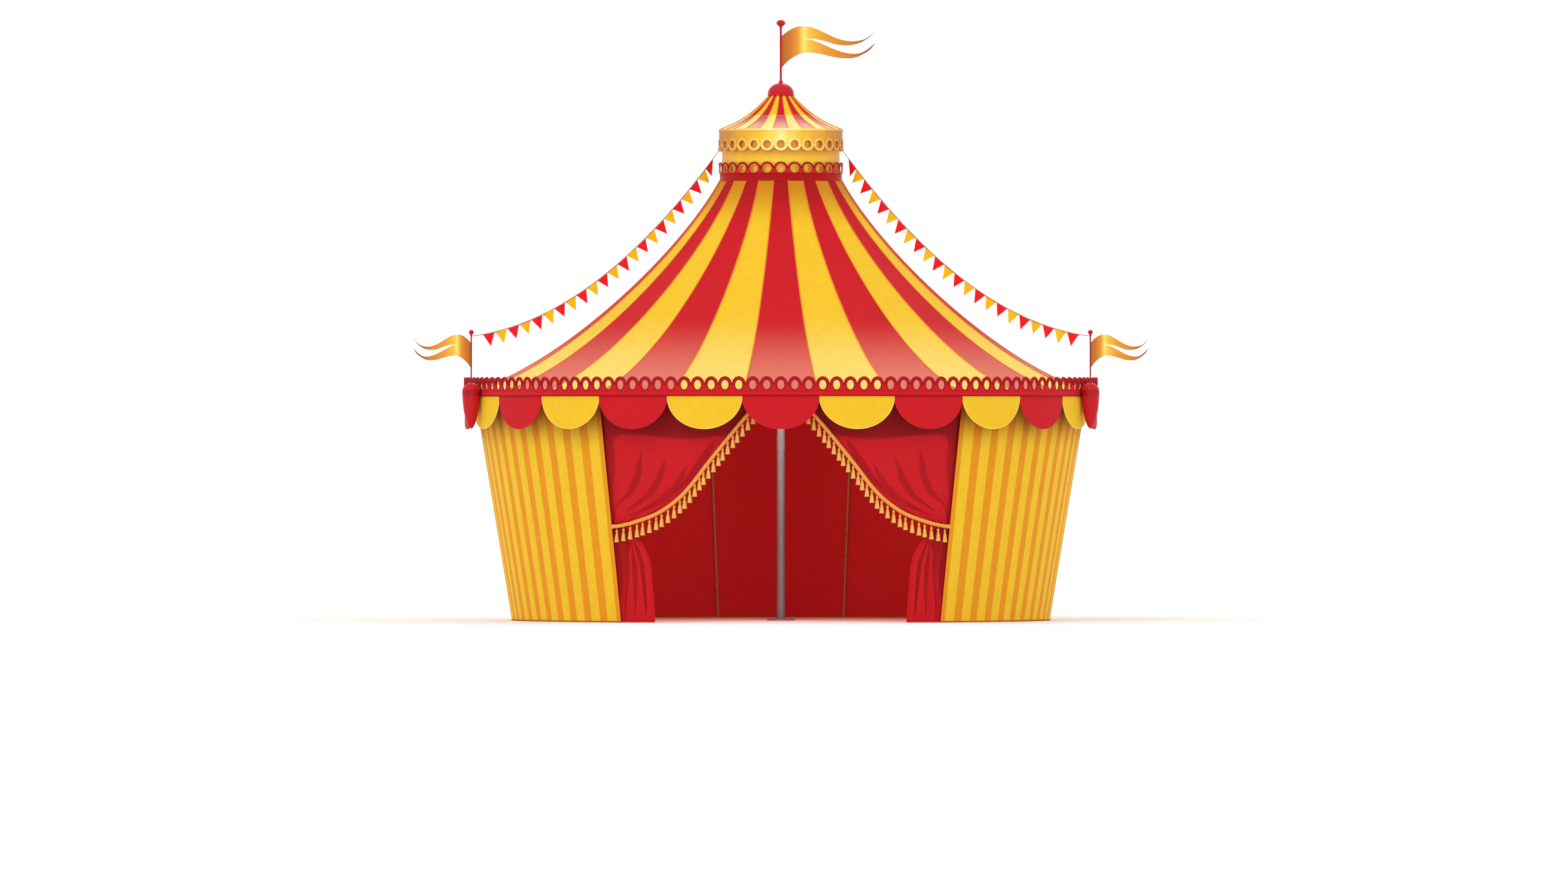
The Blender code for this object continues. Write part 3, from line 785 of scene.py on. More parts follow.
@dataclass(frozen=True)
class GlossPaint:
    """Brushed gloss paint over metal or timber, with a little dust and orange peel."""

    name: str
    colour: Colour
    dusty: Colour
    rough: float = 0.38
    coat: float = 0.04
    shine: float = 0.15

    def material(self) -> Material:
        """Build the material.

        Returns:
            The finished material.
        """
        made, tree, shader = new_material(self.name)
        wear = Effects.place(tree, Effects.wear(), Scale=9.0)
        dust = tree.maths("MULTIPLY", wear.outputs["Dust"], 0.25)
        tree.join(tree.blend(dust, self.colour, self.dusty), shader.inputs["Base Color"])
        rough = tree.remap(wear.outputs["Polish"], (0.3, 0.7),
                           (self.rough - 0.06, self.rough + 0.12))
        tree.join(rough, shader.inputs["Roughness"])
        tree.join(tree.bump(wear.outputs["Grain"], 0.12, 0.0008), shader.inputs["Normal"])
        settle(shader, {"Coat Weight": self.coat, "Coat Roughness": 0.15,
                        "Specular IOR Level": self.shine})
        return made


@dataclass(frozen=True)
class Gilding:
    """Satin gold leaf with painted highlight on the doorway's side and across, and painted shade
    between.
    """

    name: str
    stops: tuple[tuple[float, Colour], ...]
    fades: tuple[Fade, ...] = ()
    rough: float = 0.4
    metallic: float = 0.15

    def material(self) -> Material:
        """Build the material.

        Returns:
            The finished material.
        """
        made, tree, shader = new_material(self.name)
        wear = Effects.place(tree, Effects.wear(), Scale=7.0)
        place = tree.node("ShaderNodeTexCoord").outputs["Object"]
        parts = tree.node("ShaderNodeSeparateXYZ", {0: place})
        # Painted highlight and shade: the colour follows the azimuth, brightest towards -Y and +Y.
        turn = tree.maths("ABSOLUTE", tree.maths("SINE", tree.maths(
            "ARCTAN2", parts.outputs[0], tree.maths("MULTIPLY", parts.outputs[1], -1.0))))
        colour = tree.ramp(turn, self.stops)
        for fade in self.fades:
            colour = fade.over(tree, colour)
        dust = tree.maths("MULTIPLY", wear.outputs["Dust"], 0.15)
        colour = tree.blend(dust, colour, self.stops[-1][1])
        tree.join(colour, shader.inputs["Base Color"])
        rough = tree.remap(wear.outputs["Polish"], (0.3, 0.7),
                           (self.rough - 0.08, self.rough + 0.12))
        tree.join(rough, shader.inputs["Roughness"])
        tree.join(tree.bump(wear.outputs["Grain"], 0.15, 0.0008), shader.inputs["Normal"])
        settle(shader, {"Metallic": self.metallic, "Specular IOR Level": 0.3})
        return made


@dataclass(frozen=True)
class FlagSilk:
    """Gold flag cloth whose colour changes along the fly in painted highlight and shade."""

    name: str
    stops: tuple[tuple[float, Colour], ...]

    def material(self) -> Material:
        """Build the material.

        Returns:
            The finished material.
        """
        made, tree, shader = new_material(self.name)
        cloth = Effects.place(tree, Effects.cloth(), Thread=0.004, Wrinkle=6.0)
        fly = tree.node("ShaderNodeAttribute", attribute_name="mark").outputs["Fac"]
        # The ramp paints a highlight near the hoist and shade towards both ends of the fly.
        tree.join(tree.ramp(fly, self.stops), shader.inputs["Base Color"])
        rough = tree.remap(cloth.outputs["Dye"], (0.0, 1.0), (0.42, 0.6))
        tree.join(rough, shader.inputs["Roughness"])
        soft = tree.bump(cloth.outputs["Wrinkles"], 0.4, 0.002)
        fine = tree.bump(cloth.outputs["Threads"], 0.2, 0.0008, soft)
        tree.join(fine, shader.inputs["Normal"])
        settle(shader, {"Specular IOR Level": 0.2})
        return made


@dataclass(frozen=True)
class TwistedCord:
    """Gold rope and tassel thread, with a lay of fine strands and painted shade in the grooves."""

    name: str
    colour: Colour
    groove: Colour
    lay: float = 90.0

    def material(self) -> Material:
        """Build the material.

        Returns:
            The finished material.
        """
        made, tree, shader = new_material(self.name)
        place = tree.node("ShaderNodeTexCoord").outputs["Object"]
        wave = tree.node("ShaderNodeTexWave", {
            "Vector": place, "Scale": self.lay, "Distortion": 1.2, "Detail": 2.0},
            bands_direction="DIAGONAL").outputs[1]
        # Painted shade: the groove colour goes into the low parts of the lay.
        groove = tree.remap(wave, (0.0, 0.45), (0.5, 0.0))
        tree.join(tree.blend(groove, self.colour, self.groove), shader.inputs["Base Color"])
        tree.join(tree.bump(wave, 0.5, 0.002), shader.inputs["Normal"])
        tree.join(tree.remap(wave, (0.0, 1.0), (0.45, 0.62)), shader.inputs["Roughness"])
        settle(shader, {"Specular IOR Level": 0.25})
        return made


@dataclass(frozen=True)
class PoleStock:
    """Bare structural stock: galvanised steel or oiled timber, with long grain."""

    name: str
    colour: Colour
    dark: Colour
    metallic: float
    rough: float

    def material(self) -> Material:
        """Build the material.

        Returns:
            The finished material.
        """
        made, tree, shader = new_material(self.name)
        wear = Effects.place(tree, Effects.wear(), Scale=4.0)
        grain = tree.remap(wear.outputs["Grain"], (0.35, 0.65), (0.0, 1.0))
        colour = tree.blend(grain, self.dark, self.colour)
        colour = tree.blend(tree.maths("MULTIPLY", wear.outputs["Dust"], 0.5), colour, self.dark)
        tree.join(colour, shader.inputs["Base Color"])
        rough = tree.remap(wear.outputs["Polish"], (0.0, 1.0),
                           (self.rough - 0.1, self.rough + 0.15))
        tree.join(rough, shader.inputs["Roughness"])
        tree.join(tree.bump(wear.outputs["Grain"], 0.2, 0.001), shader.inputs["Normal"])
        settle(shader, {"Metallic": self.metallic})
        return made


class Wardrobe:
    """Every finish of the tent, built once."""

    def __init__(self) -> None:
        """Build all materials."""
        red = (198, 24, 33)
        yellow = (236, 189, 40)
        # Roof fades: a painted highlight, pale towards the eave, and painted shade, dark towards
        # the drum.
        self.roof_red = Canvas("roof_canvas_red", red, (
            Fade((220, 120, 102), 6.7, 5.1), Fade((166, 20, 22), 8.6, 9.7))).material()
        self.roof_yellow = Canvas("roof_canvas_yellow", yellow, (
            Fade((240, 210, 104), 6.9, 5.3), Fade((198, 130, 24), 8.6, 9.7))).material()
        self.lining = Canvas("roof_lining_red", (188, 34, 38)).material()
        self.piping = Canvas("seam_piping_orange", (222, 130, 42)).material()
        # Cone fades: a painted highlight, a pale band below a crisp edge that pales further down.
        self.cone_red = Canvas("cone_canvas_red", red, (
            Fade((200, 88, 98), 11.186, 11.176), Fade((232, 172, 152), 11.14, 10.9)),
            wrinkle=0.003).material()
        self.cone_yellow = Canvas("cone_canvas_yellow", yellow, (
            Fade((240, 218, 116), 11.186, 11.176), Fade((244, 228, 150), 11.14, 10.9)),
            wrinkle=0.003).material()
        self.band_red = Canvas("eave_band_red", red, (
            Fade((204, 24, 32), 5.085, 5.06),), rough=0.6, wrinkle=0.004).material()
        self.band_edge = Canvas("eave_band_edge_red", (160, 18, 26), rough=0.6).material()
        self.band_rim = Canvas("eave_band_rim_maroon", (132, 12, 18), rough=0.6).material()
        self.valance_red = Canvas("valance_canvas_red", red, rough=0.68).material()
        self.valance_yellow = Canvas("valance_canvas_yellow", yellow, rough=0.68).material()
        self.hem_red = Canvas("valance_hem_red", (204, 36, 42)).material()
        self.hem_yellow = Canvas("valance_hem_yellow", (246, 216, 92)).material()
        # Wall fades: painted shade, darker towards the top under the valance.
        self.wall_yellow = Canvas("wall_canvas_yellow", (238, 192, 44), (
            Fade((178, 118, 28), 3.75, 4.75),)).material()
        self.wall_orange = Canvas("wall_canvas_orange", (228, 148, 30), (
            Fade((172, 88, 20), 3.75, 4.75),)).material()
        self.wall_hem = Canvas("wall_hem_brown", (178, 104, 30)).material()
        self.wall_lining = Canvas("wall_lining_red", (202, 46, 50)).material()
        # The curtain's darker colour is painted shade, laid where the mark attribute says.
        self.curtain = Canvas("curtain_velvet_red", (200, 26, 35),
                              shade_colour=(138, 16, 22), rough=0.66, wrinkle=0.005).material()
        self.rope = TwistedCord("curtain_rope_gold", (244, 178, 80), (206, 128, 40)).material()
        self.tassel = TwistedCord("tassel_thread_gold", (242, 194, 100), (186, 116, 42),
                                  160.0).material()
        # The gildings' stops are painted highlight and shade round the drum.
        self.gold_band = Gilding("drum_band_gold", (
            (0.0, (248, 236, 146)), (0.14, (246, 218, 92)), (0.36, (238, 194, 54)),
            (0.68, (224, 164, 48)), (1.0, (186, 108, 36)))).material()
        self.gold_rim = Gilding("drum_rim_pale_gold", (
            (0.0, (252, 244, 168)), (0.42, (248, 222, 108)), (0.72, (238, 196, 84)),
            (1.0, (208, 142, 58)))).material()
        # The drum's fades are painted shade: darker below the gold lobes, and an orange tone
        # behind them for the shade seen through their holes.
        self.gold_drum = Gilding("drum_gold", (
            (0.0, (246, 206, 60)), (0.72, (240, 192, 48)), (1.0, (222, 160, 42))), (
                Fade((222, 154, 44), 10.16, 10.40), Fade((250, 168, 76), 10.42, 10.46))).material()
        self.gold_hole = Gilding("drum_hole_rim_orange", (
            (0.0, (236, 170, 76)), (1.0, (206, 132, 56)))).material()
        self.gloss_red = GlossPaint("gloss_red_paint", (194, 20, 30), (172, 34, 38)).material()
        self.gloss_maroon = GlossPaint("gloss_maroon_paint", (140, 12, 14), (124, 20, 20),
                                       shine=0.1, coat=0.02).material()
        # The collar's darker red is partly painted shade at the drum's foot.
        self.collar_shade_red = GlossPaint("collar_shade_red_paint", (168, 10, 8), (148, 20, 18),
                                     shine=0.1, coat=0.02).material()
        self.strap_red = GlossPaint("strap_red_paint", (172, 20, 30), (156, 32, 36)).material()
        self.pole_red = GlossPaint("pole_dark_red_paint", (150, 22, 26), (134, 32, 32)).material()
        # The flag's ramp is painted highlight and shade along the fly.
        self.flag = FlagSilk("flag_silk_gold", (
            (0.0, (180, 100, 34)), (0.09, (202, 120, 42)), (0.17, (230, 150, 48)),
            (0.235, (244, 228, 108)), (0.30, (240, 188, 60)), (0.45, (230, 154, 46)),
            (0.72, (208, 128, 42)), (0.88, (160, 90, 36)), (1.0, (120, 66, 34)))).material()
        self.pennant_red = Canvas("pennant_red", (240, 30, 38), wrinkle=0.002).material()
        self.pennant_amber = Canvas("pennant_amber", (255, 196, 20), wrinkle=0.002).material()
        self.line = TwistedCord("bunting_cord", (150, 84, 40), (90, 48, 24), 220.0).material()
        self.steel = PoleStock("galvanised_steel", (150, 153, 158), (130, 133, 138),
                               0.35, 0.45).material()
        self.timber = PoleStock("oiled_timber", (190, 146, 94), (154, 110, 66),
                                0.0, 0.55).material()


@dataclass
class Studio:
    """Pale floor, plain soft light and the camera of the front view.

    scale is the metres to one pixel of the picture.
    """

    scale: float = 0.014309
    picture: tuple[int, int] = (2426, 1365)
    middle_x: float = 0.07
    middle_z: float = 3.97
    distance: float = 400.0
    sensor: float = 36.0
    floor_reach: float = 900.0
    floor_drop: float = 0.002
    sun_spread: float = 25.0
    lamp_power: float = 560.0
    lamp_spot: tuple[float, float, float] = (0.0, -2.6, 5.4)

    def camera(self) -> None:
        """Place the long lens in front of the doorway, level with the ground."""
        data = bpy.data.cameras.new("front_camera")
        data.sensor_width = self.sensor
        data.lens = self.sensor * self.distance / (self.picture[0] * self.scale)
        data.clip_start = 1.0
        data.clip_end = 3000.0
        camera = bpy.data.objects.new("front_camera", data)
        camera.location = (self.middle_x, -self.distance, self.middle_z)
        camera.rotation_euler = (math.radians(90), 0.0, 0.0)
        link(camera)
        bpy.context.scene.camera = camera

    def floor(self) -> None:
        """Lay the pale floor."""
        made, _, shader = new_material("pale_floor")
        settle(shader, {"Base Color": (0.9, 0.9, 0.9, 1.0), "Roughness": 0.9,
                        "Specular IOR Level": 0.0})
        reach = self.floor_reach
        mesh = bpy.data.meshes.new("pale_floor")
        mesh.from_pydata([(-reach, -reach, 0), (reach, -reach, 0), (reach, reach, 0),
                          (-reach, reach, 0)], [], [(0, 1, 2, 3)])
        mesh.materials.append(made)
        floor = bpy.data.objects.new("pale_floor", mesh)
        floor.location.z = -self.floor_drop
        link(floor)

    def lights(self) -> None:
        """Light the tent from all round, with a soft key and a weaker fill."""
        bpy.context.scene.view_settings.view_transform = "Standard"
        world = bpy.data.worlds.new("studio")
        world.use_nodes = True
        sky = world.node_tree.nodes["Background"]
        sky.inputs[0].default_value = (1.0, 1.0, 1.0, 1.0)
        sky.inputs[1].default_value = 1.0
        bpy.context.scene.world = world
        for name, power, tilt, turn in (("key", 0.5, 48.0, -28.0), ("fill", 0.1, 60.0, 40.0),
                                        ("back", 0.3, 50.0, 170.0)):
            data = bpy.data.lights.new(name, "SUN")
            data.energy = power
            data.angle = math.radians(self.sun_spread)
            light = bpy.data.objects.new(name, data)
            light.rotation_euler = (math.radians(tilt), 0.0, math.radians(turn))
            link(light)

    def lamp(self) -> None:
        """Hang a soft lamp under the roof, so that the lining shows through the doorway."""
        data = bpy.data.lights.new("house_lamp", "POINT")
        data.energy = self.lamp_power
        data.color = (1.0, 0.93, 0.86)
        data.shadow_soft_size = 0.6
        lamp = bpy.data.objects.new("house_lamp", data)
        lamp.location = self.lamp_spot
        lamp.visible_camera = False
        lamp.visible_glossy = False
        link(lamp)


@dataclass
class Assembly:
    """What each sub-assembly of the tent is given: the shared sizes and the finishes."""

    plan: Plan
    wardrobe: Wardrobe


@dataclass
class GoredRoof(Assembly):
    """What both roofs share: gores whose cloth hangs in a little between piped seams."""

    columns: int = 10
    rows: int = 44
    sag: float = 0.020
    cloth: float = 0.006
    piping: float = 0.014
    piping_lift: float = 0.002

    def _level(self, spot: Vector, normal: Vector, start: float, count: int,
               slack: float) -> list[Vector]:
        """Run one level of the cloth.

        Args:
            spot: The level's (radius, height) on the seams.
            normal: The outward direction there.
            start: The azimuth of the first seam.
            count: How many points the level gets.
            slack: How far the cloth hangs in between two seams.

        Returns:
            The level's points.
        """
        row = []
        for i in range(count):
            across = (i % self.columns) / self.columns
            place = spot - normal * (slack * math.sin(math.pi * across))
            degrees = start + self.plan.gore_degrees * i / self.columns
            row.append(polar(place.x, degrees, place.y))
        return row


@dataclass
class Roof(GoredRoof):
    """The concave main roof, in thirteen sewn sections of two gores each.

    taut gives the radii outside and inside of which the cloth is taut and slack.
    """

    taut: Pair = (6.5, 5.9)

    def section(self, index: int) -> None:
        """Build one section with its piped seams.

        Args:
            index: The section's number from 0.
        """
        plan = self.plan
        line = plan.roof_line(self.rows)
        normals = outward(line)
        start = plan.gore_degrees * (plan.gores_per_section * index - 0.5)
        count = self.columns * plan.gores_per_section + 1
        rows = []
        for j, (spot, normal) in enumerate(zip(line, normals)):
            share = j / (len(line) - 1)
            slack = self.sag * min(1.0, 8 * share * (1 - share)) * ease(spot.x, *self.taut)
            rows.append(self._level(spot, normal, start, count, slack))
        draft = Draft()
        draft.grid(rows, lambda j, i: i // self.columns)
        lifted = [spot + normal * self.piping_lift for spot, normal in zip(line, normals)]
        for seam in range(plan.gores_per_section):
            degrees = start + plan.gore_degrees * seam
            draft.tube([polar(spot.x, degrees, spot.y) for spot in lifted], self.piping, 6, 4)
        wardrobe = self.wardrobe
        cloth = draft.build(f"roof_canvas_{index + 1:02d}", (
            wardrobe.roof_red, wardrobe.roof_yellow, wardrobe.lining, wardrobe.lining,
            wardrobe.piping), thickness=self.cloth, lining=2)
        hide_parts(f"roof_section_{index + 1:02d}")

    def build(self) -> None:
        """Build all sections."""
        for index in range(self.plan.gores // self.plan.gores_per_section):
            self.section(index)


@dataclass
class ConeRoof(GoredRoof):
    """The small cone roof over the drum, of the same gores.

    rim_place is the rolled rim's middle, out from the drum's bands and up from the edge.
    """

    columns: int = 6
    rows: int = 22
    sag: float = 0.006
    piping: float = 0.0105
    piping_lift: float = 0.001
    rim: float = 0.013
    rim_place: Pair = (-0.006, -0.005)

    def build(self) -> None:
        """Build the cone with its piped seams and rolled rim."""
        plan = self.plan
        line = plan.cone_line(self.rows)
        normals = outward(line)
        rows = []
        for j, (spot, normal) in enumerate(zip(line, normals)):
            share = j / (len(line) - 1)
            slack = self.sag * min(1.0, 5 * share * (1 - share))
            rows.append(self._level(spot, normal, -plan.gore_degrees / 2,
                                    plan.gores * self.columns, slack))
        draft = Draft()
        draft.grid(rows, lambda j, i: (i // self.columns) % 2, wrap=True)
        lift = self.piping_lift
        for gore in range(plan.gores):
            degrees = plan.gore_degrees * (gore - 0.5)
            path = [polar(spot.x + normal.x * lift, degrees, spot.y + normal.y * lift)
                    for spot, normal in zip(line, normals)]
            draft.tube(path, self.piping, 5, 4)
        inset, sunk = self.rim_place
        rim = circle(plan.drum_band_r + inset, plan.cone_rim_z + sunk, 144)
        draft.tube(rim, self.rim, 8, 5, closed=True)
        wardrobe = self.wardrobe
        cone = draft.build("cone_roof_canvas", (
            wardrobe.cone_red, wardrobe.cone_yellow, wardrobe.lining, wardrobe.lining,
            wardrobe.piping, wardrobe.gold_rim), thickness=self.cloth, lining=2)
        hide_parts("cone_roof")


@dataclass(frozen=True)
class Bead:
    """A raised bead on a band: how far it lies from the edge it follows, and its radius."""

    away: float
    radius: float


@dataclass
class PiercedBand:
    """A thin round band with a row of round lobes, each with a hole through it.

    base is the band's straight edge, joint the height where its lobes meet, and tip how
    far they reach. hole gives the holes' middle height, half width and half height. rim and
    halo are beads round each hole, and edge is the one along the lobes.
    """

    radius: float
    bays: int
    base: float
    joint: float
    tip: float
    hole: tuple[float, float, float]
    rim: Bead
    edge: Bead
    thickness: float = 0.015
    halo: Bead | None = None
    arc_steps: int = 12
    ring_steps: int = 20
    edge_steps: int = 14
    ring_lift: float = 0.001
    edge_lift: float = 0.002

    @property
    def width(self) -> float:
        """The width of one bay along the band."""
        return 2 * math.pi * self.radius / self.bays

    def _spot(self, bay: int, out: float, height: float, lift: float = 0.0) -> Vector:
        """A point of a bay, by its distance from the bay's middle."""
        degrees = 360.0 * bay / self.bays + math.degrees(out / self.radius)
        return polar(self.radius + lift, degrees, height)

    def _outline(self) -> list[Pair]:
        """Draw the bay's whole outline.

        Returns:
            Its points, from the right joint over the lobe and round the band.
        """
        half = self.width / 2
        rise = self.tip - self.joint
        outline = [(half * math.cos(turn), self.joint + rise * math.sin(turn))
                   for turn in turns(math.pi, self.arc_steps)]
        fall = self.base - self.joint
        outline += [(-half, self.joint + fall * k / 3) for k in range(1, 4)]
        outline += [(-half + self.width * k / 6, self.base) for k in range(1, 6)]
        outline += [(half, self.base - fall * k / 3) for k in range(3)]
        return outline

    def _ring(self, grow: float, outline: Outline) -> list[Pair]:
        """Draw a ring round the hole, on the rays to the outline's points.

        Args:
            grow: How far the ring lies outside the hole's edge.
            outline: The bay's outline.

        Returns:
            The ring's points, one for each of the outline.
        """
        middle, wide, tall = self.hole
        ring = []
        for out, height in outline:
            angle = math.atan2((height - middle) * (wide + grow), out * (tall + grow))
            ring.append(((wide + grow) * math.cos(angle),
                         middle + (tall + grow) * math.sin(angle)))
        return ring

    def draft(self, slots: tuple[int, int, int] = (0, 1, 2)) -> Draft:
        """Draw the band.

        Args:
            slots: The slots of the band, of the holes' rims and of the lobes' edge.

        Returns:
            The draft with the band, the rims and the edge.
        """
        made = Draft()
        outline = self._outline()
        inner = self._ring(0.0, outline)
        close = self._ring(self.rim.away * 1.5, outline)
        upward = self.tip > self.base
        for bay in range(self.bays):
            rows = [[self._spot(bay, *p) for p in line] for line in (outline, close, inner)]
            if upward:
                rows = [row[::-1] for row in rows]
            made.grid(rows, slots[0], wrap=True)
        self._trim(made, *slots[1:])
        return made

    def _trim(self, made: Draft, rims: int, edges: int) -> None:
        """Add the beads round the holes and along the lobes.

        Args:
            made: The draft that holds the band.
            rims: The slot of the holes' rims.
            edges: The slot of the lobes' edge and of the halos.
        """
        middle, wide, tall = self.hole
        beads = [(self.rim, rims)]
        if self.halo is not None:
            beads.append((self.halo, edges))
        half = self.width / 2
        shrink = 1 - self.edge.away / half
        lift = self.tip - self.joint
        inset = lift - math.copysign(self.edge.away, lift)
        for bay in range(self.bays):
            for bead, slot in beads:
                ring = [self._spot(bay, (wide + bead.away) * math.cos(turn),
                                   middle + (tall + bead.away) * math.sin(turn), self.ring_lift)
                        for turn in turns(2 * math.pi, self.ring_steps)[:-1]]
                made.tube(ring, bead.radius, 6, slot, closed=True)
            arc = [self._spot(bay, half * shrink * math.cos(turn),
                              self.joint + inset * math.sin(turn), self.edge_lift)
                   for turn in turns(math.pi, self.edge_steps)]
            made.tube(arc, self.edge.radius, 6, edges)


@dataclass
class EaveBand(Assembly):
    """The red band round the eave with its row of small rings.

    cords gives the two cords' heights above the band's lower edge and their slots.
    """

    joint: float = 5.20
    tip: float = 5.379
    hole: tuple[float, float, float] = (5.195, 0.0815, 0.1065)
    cords: tuple[tuple[float, int], ...] = ((0.006, 1), (0.108, 0))
    cord_r: float = 0.011

    def build(self) -> None:
        """Build the band, its rings and its corded lower edge."""
        plan = self.plan
        band = PiercedBand(
            radius=plan.band_r, bays=plan.crest_count, base=plan.band_low, joint=self.joint,
            tip=self.tip, hole=self.hole, rim=Bead(0.006, 0.009), edge=Bead(0.013, 0.015))
        draft = band.draft()
        for rise, slot in self.cords:
            loop = circle(plan.band_r, plan.band_low + rise, 288)
            draft.tube(loop, self.cord_r, 6, slot, closed=True)
        wardrobe = self.wardrobe
        piece = draft.build("eave_crest_band", (
            wardrobe.band_red, wardrobe.band_rim, wardrobe.band_edge), thickness=band.thickness)
        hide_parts("eave_band")


@dataclass
class Valance(Assembly):
    """Twenty-six scallops in the roof's two colours, hung behind the eave band."""

    clear: float = 0.004
    drop: float = 0.714
    top: float = 5.015
    columns: int = 28
    rows: int = 9
    billow: float = 0.016
    fullest: float = 0.8
    hem: float = 0.011
    cloth: float = 0.004

    def _scallop(self, draft: Draft, gore: int) -> None:
        """Add one scallop with its hem cord.

        Args:
            draft: The draft of the valance's half.
            gore: The number of the roof's gore above it.
        """
        plan = self.plan
        radius = plan.band_r - plan.band_t - self.clear
        half = plan.gore_degrees / 2
        middle = plan.gore_degrees * gore
        rows: list[list[Vector]] = [[] for _ in range(self.rows + 1)]
        edge = []
        for i in range(self.columns + 1):
            share = -math.cos(math.pi * i / self.columns)
            depth = math.sqrt(max(0.0, 1 - share * share))
            low = plan.band_low - self.drop * depth
            for j in range(self.rows + 1):
                down = j / self.rows
                height = self.top + (low - self.top) * down
                swell = self.billow * math.sin(math.pi * down * self.fullest) * depth
                rows[j].append(polar(radius + swell, middle + half * share, height))
            edge.append(rows[-1][-1])
        draft.grid(rows, gore % 2)
        draft.tube(edge, self.hem, 6, 2 + gore % 2)

    def build(self) -> None:
        """Build the two halves of the valance."""
        plan = self.plan
        wardrobe = self.wardrobe
        half = plan.gores // 2
        for label, first in (("right", 0), ("left", half)):
            draft = Draft()
            for gore in range(first, first + half):
                self._scallop(draft, gore)
            piece = draft.build(f"valance_scallops_{label}", (
                wardrobe.valance_red, wardrobe.valance_yellow, wardrobe.hem_red,
                wardrobe.hem_yellow), thickness=self.cloth)
            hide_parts("valance")


@dataclass
class SideWall(Assembly):
    """The leaning, striped side wall with its dark red lining."""

    panels: int = 6
    pairs: int = 80
    orange: float = 0.45
    rows: int = 20
    pleat: float = 0.007
    cloth: float = 0.006
    hem: float = 0.017
    hem_lift: float = 0.018

    def _azimuths(self, start: float, end: float) -> list[float]:
        """List a panel's columns: at its sides, and at each stripe's edges and middle.

        Args:
            start: The azimuth of the panel's first side.
            end: That of its other side.

        Returns:
            The columns' azimuths, in order.
        """
        pitch = 360.0 / self.pairs
        nearest = 0.05
        marks = {start, end}
        for k in range(self.pairs + 2):
            for share in (-self.orange / 2, 0.0, self.orange / 2, 0.36, 0.64):
                at = pitch * (k + share)
                if start + nearest < at < end - nearest:
                    marks.add(at)
        return sorted(marks)

    def _is_orange(self, degrees: float) -> bool:
        """Whether an azimuth lies in an orange stripe."""
        share = (degrees * self.pairs / 360.0 + 0.5) % 1.0 - 0.5
        return abs(share) < self.orange / 2

    def panel(self, index: int) -> None:
        """Build one wall panel.

        Args:
            index: The panel's number from 0.
        """
        plan = self.plan
        sweep = (360.0 - 2 * plan.door_half) / self.panels
        start = plan.door_half + sweep * index
        azimuths = self._azimuths(start, start + sweep)
        middles = [(a + b) / 2 for a, b in zip(azimuths, azimuths[1:])]
        rows = []
        for j in range(self.rows + 1):
            height = (plan.wall_top - plan.gap) * (1 - j / self.rows)
            row = []
            for degrees in azimuths:
                wave = math.cos(math.radians(degrees * self.pairs))
                sway = 0.5 + 0.5 * math.sin(math.pi * j / self.rows)
                radius = plan.wall_radius(height) - self.pleat * (1 + wave) * sway
                row.append(polar(radius, degrees, height))
            rows.append(row)
        draft = Draft()
        # The orange stripes lie in the pleats' valleys; their darker colour is partly painted
        # shade of the pleats.
        draft.grid(rows, lambda j, i: 1 if self._is_orange(middles[i]) else 0)
        hem = [spot + Vector((0.0, 0.0, self.hem_lift)) for spot in rows[-1]]
        draft.tube(hem, self.hem, 6, 4)
        wardrobe = self.wardrobe
        piece = draft.build(f"wall_canvas_{index + 1}", (
            wardrobe.wall_yellow, wardrobe.wall_orange, wardrobe.wall_lining,
            wardrobe.wall_lining, wardrobe.wall_hem), thickness=self.cloth, lining=2)
        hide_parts(f"wall_panel_{index + 1}")
        wide = math.radians(sweep) * plan.wall_radius(plan.wall_top)
        low = math.radians(sweep) * plan.wall_radius(0.0)

    def build(self) -> None:
        """Build all panels."""
        for index in range(self.panels):
            self.panel(index)


